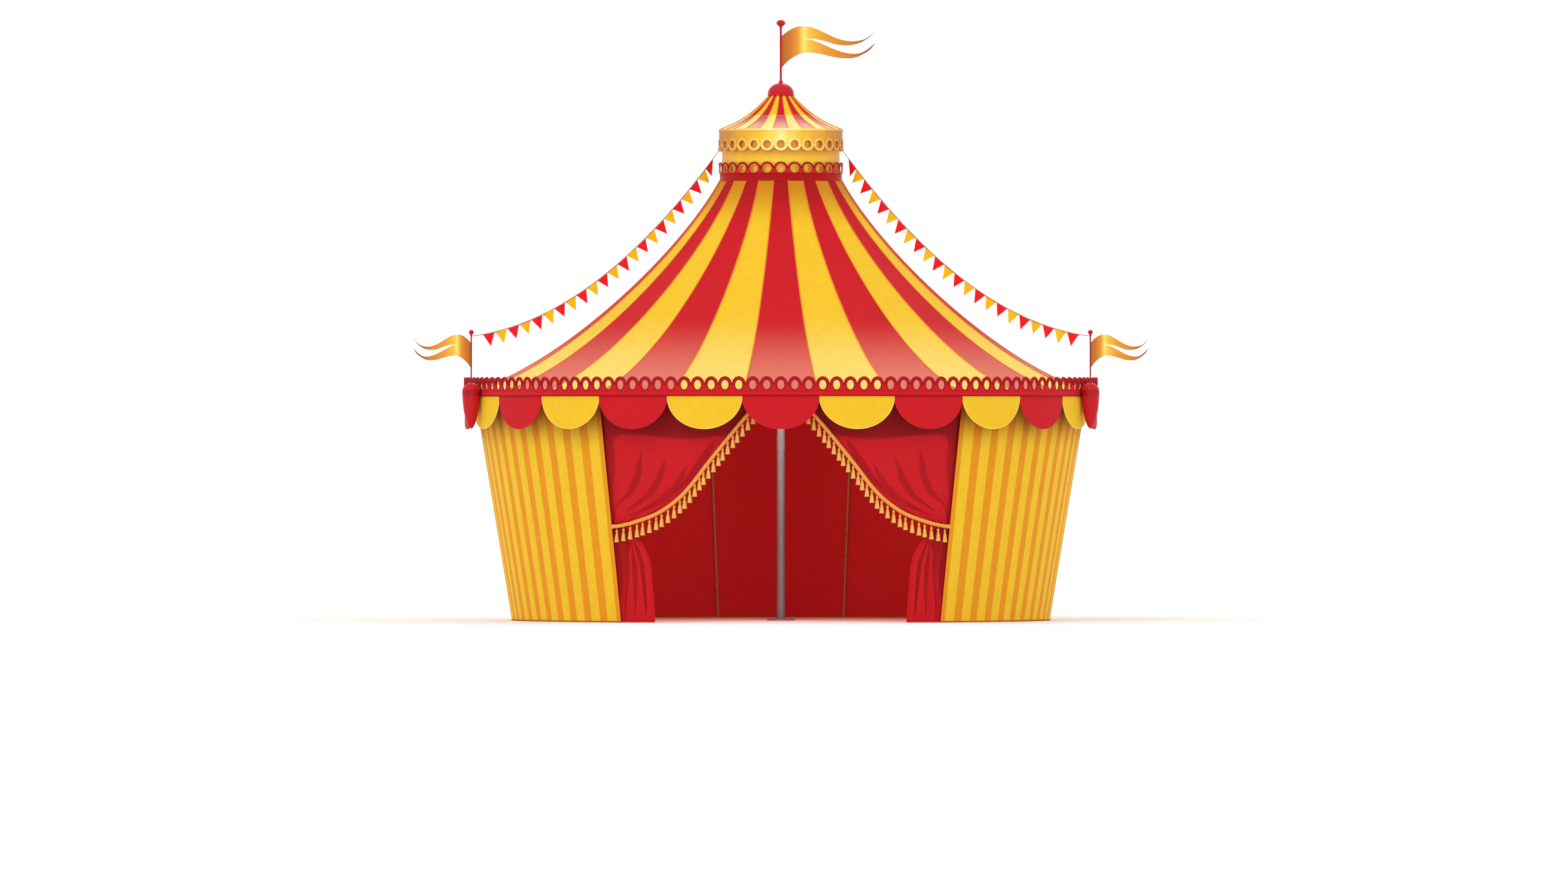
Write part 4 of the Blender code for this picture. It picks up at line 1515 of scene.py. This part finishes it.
@dataclass
class Doorway(Assembly):
    """The tied-back curtains with their rope and tassels.

    The edges, creases, fan and corner are (X, height) points of the right side. The tail gets
    painted shade outside the line that slopes down from fan, and the swag outside or above
    corner. The shades are heights, and the blurs distances past a border, over which the
    painted shade comes in.
    The tassels' outlines hang from the rope's middle.
    """

    outer_degrees: float = 36.55
    upper_edge: Profile = (
        (0.50, 4.7997), (1.05, 4.15), (1.617, 3.43), (1.95, 2.99), (2.25, 2.68), (2.65, 2.40),
        (3.10, 2.22), (3.42, 2.13))
    tail_edge: Profile = (
        (3.42, 2.13), (3.30, 1.98), (3.12, 1.84), (2.95, 1.60), (2.84, 1.30), (2.80, 0.83),
        (2.76, 0.40), (2.74, 0.005))
    creases: tuple[Profile, ...] = (
        ((3.06, 3.72), (3.12, 3.22), (3.26, 2.88), (3.62, 2.52)),
        ((2.52, 3.58), (2.66, 3.12), (2.88, 2.78), (3.36, 2.44)),
        ((2.02, 3.46), (2.28, 2.98), (2.66, 2.62), (3.30, 2.33)),
        ((1.42, 4.02), (1.66, 3.62), (2.02, 3.12), (2.56, 2.62)))
    tail_creases: tuple[Profile, ...] = (
        ((3.20, 1.76), (3.04, 1.30), (2.98, 0.80), (2.95, 0.20)),
        ((3.26, 1.76), (3.20, 1.20), (3.18, 0.70), (3.17, 0.15)),
        ((3.32, 1.76), (3.36, 1.25), (3.38, 0.75), (3.39, 0.20)))
    columns: int = 130
    upper_rows: int = 66
    tail_rows: int = 44
    crease_width: float = 0.105
    tail_crease_width: float = 0.055
    shadow: float = 0.62
    crease_shadow: float = 0.55
    head_shade: Pair = (3.7, 4.3)
    tie_shade: Pair = (1.72, 1.90)
    fan: Pair = (3.26, 1.76)
    fan_slope: float = 0.16
    fan_blur: float = 0.09
    corner: Pair = (3.44, 3.86)
    corner_blur: Pair = (0.17, 0.24)
    folds: float = 5.0
    fold_depths: tuple[float, float, float] = (0.006, 0.032, 0.038)
    fold_share: float = 0.45
    crease_share: float = 0.75
    cloth: float = 0.005
    fullness: float = 1.15
    cut_height: float = 5.0
    rope_r: float = 0.046
    rope_out: float = 0.063
    rope_end: Pair = (3.62, 2.10)
    rope_rows: int = 150
    lay: float = 0.19
    strands: int = 3
    rope_knob: Profile = (
        (0.0, 0.05), (0.03, 0.042), (0.046, 0.015), (0.046, -0.015), (0.03, -0.042),
        (0.0, -0.05))
    tassel_pitch: float = 0.17
    tassel_string: Profile = ((0.0, -0.03), (0.006, -0.03), (0.006, -0.085), (0.0, -0.085))
    tassel_ball: Profile = (
        (0.0, -0.080), (0.017, -0.084), (0.029, -0.100), (0.029, -0.116), (0.016, -0.134),
        (0.022, -0.140), (0.026, -0.147), (0.022, -0.154), (0.018, -0.158), (0.0, -0.158))
    tassel_skirt: Profile = (
        (0.0, -0.157), (0.018, -0.157), (0.028, -0.180), (0.034, -0.215), (0.038, -0.26),
        (0.044, -0.31), (0.050, -0.35), (0.040, -0.346), (0.0, -0.33))
    ridge_top: float = -0.17
    ridge_depth: float = 0.055

    def _jamb(self, height: float) -> float:
        """The X of the jamb at a height."""
        return self.plan.curtain_radius(height) * math.sin(math.radians(self.outer_degrees))

    def _spot(self, side: Side, out: float, height: float, lift: float) -> Vector:
        """Find a point of the curtain's surface.

        Args:
            side: The doorway's side.
            out: Its distance from the doorway's middle.
            height: Its height.
            lift: How far it stands out from the middle surface.

        Returns:
            The point.
        """
        radius = self.plan.curtain_radius(height)
        degrees = math.degrees(math.asin(min(out / radius, 0.99)))
        return polar(radius + lift, side.value * degrees, height)

    def _shade(self, out: float, height: float, below: bool) -> Pair:
        """How much painted shade the cloth gets at a point, and how far it lies in a crease.

        Args:
            out: The point's distance from the doorway's middle.
            height: Its height.
            below: Whether it is on the tail, below the tie.

        Returns:
            The painted shade's share and the crease's share.
        """
        spot = Vector((out, height))
        if below:
            # Painted shade on the tail: under the tie, and outside the line down from fan.
            fan = self.fan[0] + self.fan_slope * max(0.0, self.fan[1] - height)
            dark = self.shadow * max(ease(height, *self.tie_shade),
                                     ease(out, fan, fan + self.fan_blur))
            lines = self.tail_creases
            width = self.tail_crease_width
        else:
            # The border of the painted shade wavers a little.
            side = self.corner[0] + 0.02 * math.sin(5 * height)
            top = self.corner[1] + 0.05 * math.sin(2.3 * out)
            corner = Vector((max(0.0, out - side), max(0.0, height - top)))
            # Painted shade on the swag: outside and above the corner, fullest at the top under the
            # valance.
            dark = ease(corner.length, *self.corner_blur)
            dark *= self.shadow + (1 - self.shadow) * ease(height, *self.head_shade)
            lines = self.creases
            width = self.crease_width
        crease = max(stroke(spot, [Vector(p) for p in line], width) for line in lines)
        # Creases get painted shade as well.
        return max(dark, self.crease_shadow * crease), crease

    def _part(self, side: Side, edge: Sequence[Vector], below: bool,
              depth: Pair) -> tuple[list[list[Vector]], list[list[float]]]:
        """Shape the swag or the tail, with folds that run along it.

        Args:
            side: The doorway's side.
            edge: Its free edge, from the top down.
            below: Whether it is the tail.
            depth: How far its folds stand in and out, at its top and at its foot.

        Returns:
            Its rows of points, and the painted shade's share at each.
        """
        rows = []
        marks = []
        top = edge[0].y
        low = edge[-1].y
        for j, spot in enumerate(edge):
            t = j / (len(edge) - 1)
            jamb_z = top + (low - top) * t
            jamb_x = self._jamb(jamb_z)
            swell = depth[0] + (depth[1] - depth[0]) * t
            row = []
            mark = []
            for i in range(self.columns + 1):
                s = i / self.columns
                out = (1 - s) * spot.x + s * jamb_x
                height = (1 - s) * spot.y + s * jamb_z
                dark, crease = self._shade(out, height, below)
                wave = math.cos(2 * math.pi * self.folds * s**0.85)
                lift = swell * (self.fold_share * wave - self.crease_share * crease)
                row.append(self._spot(side, out, height, lift))
                mark.append(dark)
            rows.append(row)
            marks.append(mark)
        return rows, marks

    def curtain(self, side: Side) -> None:
        """Build one curtain: swag above the tie, tail below it.

        Args:
            side: The doorway's side.
        """
        head, tie, foot = self.fold_depths
        upper = rounded_line(self.upper_edge, self.upper_rows)
        tail = rounded_line(self.tail_edge, self.tail_rows)
        rows, marks = self._part(side, upper, False, (head, tie))
        tail_rows, tail_marks = self._part(side, tail, True, (tie, foot))
        rows = rows[:-1] + tail_rows
        marks = marks[:-1] + tail_marks
        if side is Side.LEFT:
            rows = [row[::-1] for row in rows]
            marks = [mark[::-1] for mark in marks]
        draft = Draft()
        draft.grid(rows, marks=marks)
        piece = draft.build(f"curtain_drape_{side.label}", (self.wardrobe.curtain,),
                            sharp=SOFT_ANGLE, thickness=self.cloth)
        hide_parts(f"curtain_{side.label}")

    def _route(self, side: Side) -> list[Vector]:
        """Lay the rope's centreline along the curtain's free edge.

        Args:
            side: The doorway's side.

        Returns:
            Its points, from the top down.
        """
        route = []
        for out, height in (*self.upper_edge, self.rope_end):
            route.append(self._spot(side, out, height, self.rope_out))
        route[0] = route[0].lerp(route[1], 0.1)
        return rounded_line(route, self.rope_rows)

    def trim(self, side: Side) -> None:
        """Build the laid rope and its tassels.

        Args:
            side: The doorway's side.
        """
        draft = Draft()
        route = self._route(side)
        walked = distances(route)
        strand_r = self.rope_r * 0.5
        for strand in range(self.strands):
            path = []
            for k, spot in enumerate(route):
                out = Vector((spot.x, spot.y, 0.0)).normalized()
                across = heading(route, k).cross(out).normalized()
                angle = 2 * math.pi * (walked[k] / self.lay + strand / self.strands)
                path.append(spot + (out * math.cos(angle) + across * math.sin(angle)) * strand_r)
            draft.tube(path, strand_r, 8, 0)
        for end in (route[0], route[-1]):
            draft.turned(self.rope_knob, 16, end, 0)
        length = line_length(route)
        count = int(length / self.tassel_pitch)
        for k in range(count):
            goal = (k + 0.5) * length / count
            index = min(int(goal / length * (len(route) - 1)), len(route) - 2)
            self._tassel(draft, route[index])
        piece = draft.build(f"curtain_rope_{side.label}",
                            (self.wardrobe.rope, self.wardrobe.tassel))
        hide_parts(f"curtain_trim_{side.label}")

    def _tassel(self, draft: Draft, spot: Vector) -> None:
        """Add one tassel: string, ball, collar and a ridged skirt.

        Args:
            draft: The rope's draft.
            spot: The rope's middle above it.
        """
        draft.turned(self.tassel_string, 6, spot, 0)
        draft.turned(self.tassel_ball, 12, spot, 0)
        draft.turned(self.tassel_skirt, 20, spot, 1,
                     lambda z: self.ridge_depth if z < self.ridge_top else 0.0)

    def build(self) -> None:
        """Build both sides."""
        for side in Side:
            self.curtain(side)
            self.trim(side)


@dataclass
class Drum(Assembly):
    """The gilded drum with its collar and two pierced bands, and the dome cap.

    The moulding's heights are above the drum's foot, and the lip's above the cap's seat.
    """

    top: float = 10.85
    shell: float = 0.02
    ring_pitch: float = 0.09
    sides: int = 112
    collar_h: float = 0.172
    collar_bore: float = 1.3004
    moulding: Profile = (
        (1.345, 0.172), (1.352, 0.152), (1.350, 0.082), (1.356, 0.03), (1.365, 0.015),
        (1.365, 0.0))
    hole_rim: Bead = Bead(0.003, 0.008)
    band_t: float = 0.012
    cresting_joint: float = 0.103
    cresting_h: float = 0.244
    cresting_hole: float = 0.087
    cresting_edge: Bead = Bead(0.006, 0.010)
    lobes_top: float = 10.849
    lobes_joint: float = 0.325
    lobe_h: float = 0.142
    lobes_hole: float = 0.082
    lobes_edge: Bead = Bead(0.011, 0.014)
    lobes_halo: Bead = Bead(0.030, 0.021)
    lobes_cord: float = 0.021
    dome_r: float = 0.288
    dome_h: float = 0.240
    dome_foot: float = 0.036
    lip: Profile = ((0.291, 0.022), (0.296, 0.012), (0.298, 0.004), (0.294, 0.0))

    def body(self) -> None:
        """Build the cylinder and the collar."""
        low = self.plan.drum_foot
        outer = self.plan.drum_r
        inner = outer - self.shell
        profile = [(inner, self.top), (outer, self.top)]
        profile += [(outer, self.top - self.ring_pitch * k) for k in range(1, 13)]
        profile += [(outer, low), (inner, low), (inner, self.top)]
        draft = Draft()
        draft.turned(profile, self.sides, Vector())
        piece = draft.build("drum_wall", (self.wardrobe.gold_drum,))
        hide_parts("drum_cylinder")

        bore = self.collar_bore
        profile = [(bore, low + self.collar_h)]
        profile += [(radius, low + rise) for radius, rise in self.moulding]
        profile += [(bore, low), (bore, low + self.collar_h)]
        draft = Draft()
        draft.turned(profile, self.sides, Vector())
        # The collar's darker red is partly painted shade.
        piece = draft.build("drum_collar_moulding", (self.wardrobe.collar_shade_red,))
        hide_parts("drum_collar")

    def bands(self) -> None:
        """Build the red cresting below and the gilded lobes above."""
        plan = self.plan
        wardrobe = self.wardrobe
        base = plan.drum_foot + self.collar_h + plan.gap
        level = base + self.cresting_joint
        lower = PiercedBand(
            radius=plan.drum_band_r, bays=plan.drum_bays, base=base, joint=level,
            tip=base + self.cresting_h, hole=(level, self.cresting_hole, self.cresting_hole),
            rim=self.hole_rim, edge=self.cresting_edge, thickness=self.band_t)
        draft = lower.draft()
        piece = draft.build("drum_cresting_red", (
            wardrobe.gloss_red, wardrobe.gold_hole, wardrobe.gloss_maroon),
            thickness=lower.thickness)
        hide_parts("drum_lower_band")

        top = self.lobes_top
        level = top - self.lobes_joint
        upper = PiercedBand(
            radius=plan.drum_band_r, bays=plan.drum_bays, base=top, joint=level,
            tip=level - self.lobe_h, hole=(level, self.lobes_hole, self.lobes_hole),
            rim=self.hole_rim, edge=self.lobes_edge, thickness=self.band_t,
            halo=self.lobes_halo)
        draft = upper.draft((0, 2, 1))
        loop = circle(plan.drum_band_r + 0.001, top - 0.012, 144)
        draft.tube(loop, self.lobes_cord, 6, 1, closed=True)
        piece = draft.build("drum_lobes_gold", (
            wardrobe.gold_band, wardrobe.gold_rim, wardrobe.gold_hole),
            thickness=upper.thickness)
        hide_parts("drum_upper_band")

    def cap(self) -> None:
        """Build the dome cap with its flared lip."""
        seat = self.plan.cone_top[1] + self.plan.gap
        profile = dome(self.dome_r, seat + self.dome_foot, self.dome_h, 18)
        profile += [(radius, seat + rise) for radius, rise in self.lip]
        profile.append((0.0, seat))
        draft = Draft()
        draft.turned(profile, 64, Vector())
        piece = draft.build("dome_cap_red", (self.wardrobe.gloss_red,))
        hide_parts("dome_cap")

    def build(self) -> None:
        """Build every piece of the drum."""
        self.body()
        self.bands()
        self.cap()


@dataclass
class Flagstaff(Assembly):
    """A thin red pole with a ball on top, and a swallow-tailed gold flag.

    knob is the ball's half width and its height. neck and the socket's widths are shares of
    the radius, and laces are shares of the hoist. The flag's outlines give the distance from
    the hoist and the height, both in shares of the hoist: two tails part at fork, and
    tip and end are where the upper and the lower one end.
    """

    label: str
    foot: Vector
    radius: float
    top: float
    knob: Pair
    flag_low: float
    hoist: float
    reach: float
    side: int
    node: str
    flag_node: str
    finish: Material
    neck: float = 1.5
    socket: Profile = ((1.0, 0.06), (1.6, 0.05), (1.9, 0.012), (2.4, 0.0), (0.0, 0.0))
    laces: Pair = (0.06, 0.94)
    columns: int = 56
    rows: int = 5
    flag_t: float = 0.003
    flutter: float = 0.05
    fork: float = 0.72
    tip: float = 3.03
    end: float = 3.02
    upper: Profile = (
        (0, 1), (0.21, 1.16), (0.47, 1.28), (0.71, 1.30), (0.99, 1.26), (1.39, 1.09),
        (1.78, 0.92), (2.10, 0.84), (2.36, 0.83), (2.63, 0.88), (2.84, 1.0), (3.03, 1.17))
    split_over: Profile = (
        (0, 0.52), (0.21, 0.70), (0.47, 0.85), (0.73, 0.90), (1.05, 0.90), (1.39, 0.83),
        (1.78, 0.72), (2.18, 0.70), (2.52, 0.78), (2.81, 0.95), (3.03, 1.17))
    split_under: Profile = (
        (0, 0.52), (0.21, 0.70), (0.47, 0.85), (0.73, 0.885), (0.99, 0.855), (1.39, 0.70),
        (1.78, 0.54), (2.07, 0.46), (2.34, 0.43), (2.57, 0.47), (2.81, 0.605), (3.02, 0.78))
    lower: Profile = (
        (0, 0), (0.21, 0.21), (0.47, 0.38), (0.68, 0.45), (0.94, 0.47), (1.26, 0.42),
        (1.73, 0.316), (2.05, 0.285), (2.31, 0.30), (2.57, 0.395), (2.84, 0.56), (3.02, 0.78))

    def pole(self) -> None:
        """Build the pole, its socket and its ball."""
        knob_r, knob_h = self.knob
        draft = Draft()
        profile = [(knob_r * math.sin(turn), self.top + knob_h * (1 + math.cos(turn)) / 2)
                   for turn in turns(math.pi, 16)]
        neck = self.radius * self.neck
        profile = [p for p in profile if p[0] > neck or p[1] > self.top + knob_h / 2]
        profile.append((neck, self.top + 0.01))
        axis = Vector((self.foot.x, self.foot.y, 0.0))
        draft.turned(profile, 32, axis, 1)
        outline = [profile[-1], (neck, self.top - 0.015), (self.radius, self.top - 0.03)]
        outline += [(self.radius * wide, self.foot.z + rise) for wide, rise in self.socket]
        draft.turned(outline, 32, axis)
        for share in self.laces:
            at = self.flag_low + self.hoist * share
            place = Vector((self.foot.x, self.foot.y, at))
            loop = [place + spot for spot in circle(self.radius + 0.001, 0.0, 16)]
            draft.tube(loop, 0.004, 6, closed=True)
        piece = draft.build(f"flagstaff_{self.label}", (self.finish, self.wardrobe.gloss_red))
        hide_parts(self.node)

    def _height_at(self, line: Outline, out: float) -> float:
        """Read an outline's height.

        Args:
            line: The outline, from the hoist on.
            out: The distance from the hoist.

        Returns:
            The height there.
        """
        for a, b in zip(line, line[1:]):
            if a[0] <= out <= b[0]:
                share = (out - a[0]) / (b[0] - a[0])
                return a[1] + (b[1] - a[1]) * share
        return line[-1][1]

    def flag(self) -> None:
        """Build the flag as two tails that join at the hoist."""
        draft = Draft()
        stretch = self.reach / self.tip
        start = self.foot.x + self.side * (self.radius + self.plan.gap)
        whole = rounded_line(self.split_over, 120)
        for top_line, low_line in ((self.upper, self.split_over), (self.split_under, self.lower)):
            smooth_top = rounded_line(top_line, 120)
            smooth_low = rounded_line(low_line, 120)
            grid = []
            marks = []
            for j in range(self.rows + 1):
                down = j / self.rows
                row = []
                mark = []
                for i in range(self.columns + 1):
                    out = self.end * i / self.columns
                    high = self._height_at(smooth_top, out)
                    low = self._height_at(smooth_low, out)
                    if out < self.fork and top_line is self.split_under:
                        high = self._height_at(whole, out)
                    height = high + (low - high) * down
                    sway = self.flutter * self.hoist * math.sin(out * 2.3) * min(1.0, out * 1.5)
                    row.append(Vector((start + self.side * out * stretch, self.foot.y - sway,
                                       self.flag_low + height * self.hoist)))
                    mark.append(out / self.tip)
                grid.append(row)
                marks.append(mark)
            if self.side < 0:
                grid = [row[::-1] for row in grid]
                marks = [mark[::-1] for mark in marks]
            draft.grid(grid, marks=marks)
        piece = draft.build(f"flag_{self.label}", (self.wardrobe.flag,), sharp=SOFT_ANGLE,
                            thickness=self.flag_t)
        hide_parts(self.flag_node)

    def build(self) -> None:
        """Build the pole and its flag."""
        self.pole()
        self.flag()


@dataclass
class CornerOrnament(Assembly):
    """A red drop with a domed top outside the eave band, which carries an end pole."""

    side: Side
    rim: float = 5.07
    tip: float = 4.24
    strap: Pair = (5.104, 4.956)
    strap_t: float = 0.004
    strap_bevel: float = 0.006
    taper: Profile = (
        (0.0, 1.0), (0.14, 0.995), (0.35, 0.94), (0.5, 0.86), (0.65, 0.73), (0.78, 0.57),
        (0.88, 0.41), (0.95, 0.25), (0.987, 0.11), (1.0, 0.0))

    def build(self) -> None:
        """Build the drop with the dark strap across it."""
        plan = self.plan
        radius = plan.ornament_r
        profile = dome(radius, self.rim, plan.ornament_top - self.rim, 10)
        drop = self.rim - self.tip
        spots = [(radius * wide, self.rim - drop * share) for share, wide in self.taper]
        profile += [(max(0.0, spot.x), spot.y) for spot in rounded_line(spots, 40)[1:]]
        draft = Draft()
        spot = plan.ornament_spot(self.side)
        draft.turned(profile, 48, spot)
        top, low = self.strap
        inner = radius * 0.985
        outer = radius + self.strap_t
        strap = [(inner, top), (outer, top - self.strap_bevel), (outer, low + self.strap_bevel),
                 (inner, low)]
        draft.turned(strap + strap[:1], 48, spot, 1)
        piece = draft.build(f"corner_drop_{self.side.label}",
                            (self.wardrobe.gloss_red, self.wardrobe.strap_red))
        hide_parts(f"corner_ornament_{self.side.label}")


@dataclass
class Bunting(Assembly):
    """A cord with a row of pennants, from the drum to an end pole.

    tie is how far it ends under the pole's top, bare is its length without pennants, and
    square is how squarely the first pennant and the others hang to it.
    """

    side: Side
    radius: float = 0.006
    start_z: float = 10.41
    tie: float = 0.03
    sag: float = 0.85
    bare: float = 0.2
    pitch: float = 0.30
    width: float = 0.28
    drop: float = 0.275
    head_gap: float = 0.002
    square: Pair = (0.25, 0.9)
    curl: float = 0.02
    steps: int = 8
    tape: float = 0.012
    tape_drop: float = 0.006
    cloth: float = 0.0015

    def _line(self, count: int) -> list[Vector]:
        """Run the sagging cord.

        Args:
            count: How many points it gets.

        Returns:
            The points, from the drum to the end pole.
        """
        plan = self.plan
        face = plan.drum_band_r * math.cos(math.pi / plan.drum_bays)
        start = Vector((self.side.value * (face + self.radius), 0.0, self.start_z))
        pole = plan.ornament_spot(self.side)
        end = Vector((pole.x, pole.y, plan.end_pole_top - self.tie))
        way = start - end
        way.z = 0.0
        end += way.normalized() * (plan.end_pole_r + 3 * plan.gap)
        points = []
        for i in range(count):
            t = i / (count - 1)
            spot = start.lerp(end, t)
            spot.z -= 4 * self.sag * t * (1 - t)
            points.append(spot)
        return points

    def cord(self) -> None:
        points = self._line(40)
        name = f"bunting_cord_{self.side.label}"
        data = bpy.data.curves.new(name, "CURVE")
        data.dimensions = "3D"
        data.bevel_depth = self.radius
        data.bevel_resolution = 2
        data.use_fill_caps = True
        spline = data.splines.new("POLY")
        spline.points.add(len(points) - 1)
        for point, spot in zip(spline.points, points):
            point.co = (*spot, 1.0)
        data.materials.append(self.wardrobe.line)
        cord = bpy.data.objects.new(name, data)
        link(cord)
        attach(cord, BODY)
        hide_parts(f"bunting_line_{self.side.label}")
        LOG.info("%s: %.2f m", name, line_length(points))

    def pennants(self) -> None:
        """Build the pennants, each a little curled, on their tape."""
        points = self._line(400)
        walked = distances(points)

        def on_cord(distance: float) -> Vector:
            """Find a point of the cord.

            Args:
                distance: How far it lies from the cord's start.

            Returns:
                The point.
            """
            for k in range(len(points) - 1):
                if distance <= walked[k + 1]:
                    share = (distance - walked[k]) / (walked[k + 1] - walked[k])
                    return points[k].lerp(points[k + 1], share)
            return points[-1]

        draft = Draft()
        count = int((walked[-1] - self.bare) / self.pitch)
        lead = (walked[-1] - count * self.pitch) / 2
        down = Vector((0.0, 0.0, -1.0))
        below = self.radius + self.head_gap
        for index in range(count):
            at = lead + index * self.pitch
            across = (on_cord(at + self.width) - on_cord(at)).normalized()
            out = across.cross(down).normalized() * self.side.value
            square = (down - across * down.dot(across)).normalized()
            hang = down.lerp(square, self.square[min(index, 1)]).normalized()
            rows = []
            for j in range(self.steps + 1):
                share = j / self.steps
                row = []
                for i in range(self.steps + 1):
                    place = i / self.steps
                    head = on_cord(at + self.width * place) + hang * below
                    middle = on_cord(at + self.width / 2) + hang * below
                    spot = head.lerp(middle + hang * self.drop, share)
                    curl = self.curl * share * math.sin(3.0 * place + 1.7 * index)
                    row.append(spot + out * curl * share)
                rows.append(row)
            draft.grid(rows, index % 2)
        taped = walked[-1] - 2 * lead
        path = [on_cord(lead + taped * k / 80) + down * (self.radius + self.tape_drop)
                for k in range(81)]
        draft.grid([path, [p + down * self.tape for p in path]])
        piece = draft.build(f"bunting_flags_{self.side.label}", (
            self.wardrobe.pennant_red, self.wardrobe.pennant_amber), thickness=self.cloth)
        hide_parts(f"bunting_pennants_{self.side.label}")
        f"bunting_cord_{self.side.label}"


@dataclass
class KingPole(Assembly):
    """The steel king pole, in three sleeved lengths on a round, bolted base plate.

    The boot's points lie beyond the pole and above the plate.
    """

    radius: float = 0.09
    plate: float = 0.30
    plate_t: float = 0.03
    sleeve: float = 0.17
    joints: tuple[float, ...] = (7.7, 3.9)
    step: float = 0.005
    bevel: float = 0.004
    rim: float = 0.003
    groove: float = 0.001
    boot: Profile = ((0.0, 0.12), (0.006, 0.115), (0.006, 0.03), (0.022, 0.002), (0.024, 0.0))
    bolts: int = 8
    bolt_circle: float = 0.77
    washer: Profile = ((0.0, 0.003), (0.027, 0.003), (0.028, 0.0), (0.0, 0.0))
    bolt_head: Profile = ((0.0, 0.014), (0.015, 0.014), (0.018, 0.011), (0.018, 0.0), (0.0, 0.0))

    def _profile(self) -> list[Pair]:
        """Draw the turned outline.

        Returns:
            Its (radius, height) points, from the top down to the plate's foot.
        """
        r = self.radius
        wide = r + self.step
        bevel = self.bevel
        top = self.plan.cone_top[1]
        profile = [(0.0, top), (r - self.rim, top), (r, top - self.rim)]
        for joint in self.joints:
            high = joint + self.sleeve
            low = joint - self.sleeve
            profile += [(r, high), (wide, high - bevel), (wide, joint + bevel),
                        (r + self.groove, joint), (wide, joint - bevel), (wide, low + bevel),
                        (r, low)]
        plate = self.plate
        plate_t = self.plate_t
        profile += [(r + beyond, plate_t + rise) for beyond, rise in self.boot]
        profile += [(plate - bevel, plate_t), (plate, plate_t - bevel), (plate, 0.0), (0.0, 0.0)]
        return profile

    def build(self) -> None:
        """Build the pole with its plate, sleeves and bolts."""
        draft = Draft()
        draft.turned(self._profile(), 64, Vector())
        washer_t = self.washer[0][1]
        for k in range(self.bolts):
            foot = polar(self.plate * self.bolt_circle, 360.0 * (k + 0.5) / self.bolts,
                         self.plate_t)
            draft.turned(self.washer, 24, foot)
            draft.turned(self.bolt_head, 6, foot + Vector((0.0, 0.0, washer_t)))
        piece = draft.build("king_pole_steel", (self.wardrobe.steel,), sharp=30.0)
        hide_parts("king_pole")


@dataclass
class Framework:
    """The rings, side poles and rail that carry the canvas, which keep their CAD shapes."""

    nodes: dict[str, bpy.types.Object]
    wardrobe: Wardrobe
    sharp: float = 61.0

    def build(self) -> None:
        """Give each node its finish, with round members shaded smooth."""
        finishes = {"crown_ring": self.wardrobe.steel, "door_frame": self.wardrobe.steel,
                    "eave_frame": self.wardrobe.timber}
        for name, finish in finishes.items():
            node = self.nodes[name]
            for place in node.material_slots:
                place.material = finish
            node.data.shade_smooth()
            node.data.set_sharp_from_angle(angle=math.radians(self.sharp))
            LOG.info("%s: dressed", name)


def main() -> None:
    """Load the frame and build the tent's looks in order."""
    logging.basicConfig(level=logging.INFO, format="%(name)s: %(message)s")
    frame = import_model()
    studio = Studio()
    studio.camera()
    plan = Plan()
    wardrobe = Wardrobe()
    strands = [Bunting(plan, wardrobe, side) for side in Side]
    for strand in strands:
        strand.cord()
    Roof(plan, wardrobe).build()
    ConeRoof(plan, wardrobe).build()
    EaveBand(plan, wardrobe).build()
    Valance(plan, wardrobe).build()
    SideWall(plan, wardrobe).build()
    Doorway(plan, wardrobe).build()
    Drum(plan, wardrobe).build()
    Flagstaff(
        plan, wardrobe, label="main", foot=Vector((0.0, 0.0, 11.8966)), radius=plan.main_pole_r,
        top=13.15, knob=(0.0985, 0.145), flag_low=12.245, hoist=0.698, reach=2.08, side=1,
        node="main_flagpole", flag_node="main_flag", finish=wardrobe.gloss_red).build()
    for side in Side:
        CornerOrnament(plan, wardrobe, side).build()
        foot = plan.ornament_spot(side)
        foot.z = plan.ornament_top + plan.gap
        Flagstaff(
            plan, wardrobe, label=side.label, foot=foot, radius=plan.end_pole_r,
            top=plan.end_pole_top, knob=(0.054, 0.108), flag_low=5.589, hoist=0.555,
            reach=1.27, side=side.value, node=f"end_flagpole_{side.label}",
            flag_node=f"end_flag_{side.label}", finish=wardrobe.pole_red).build()
    for strand in strands:
        strand.pennants()
    KingPole(plan, wardrobe).build()
    Framework(frame["nodes"], wardrobe).build()
    studio.floor()
    studio.lights()
    studio.lamp()


if __name__ == "__main__":
    main()
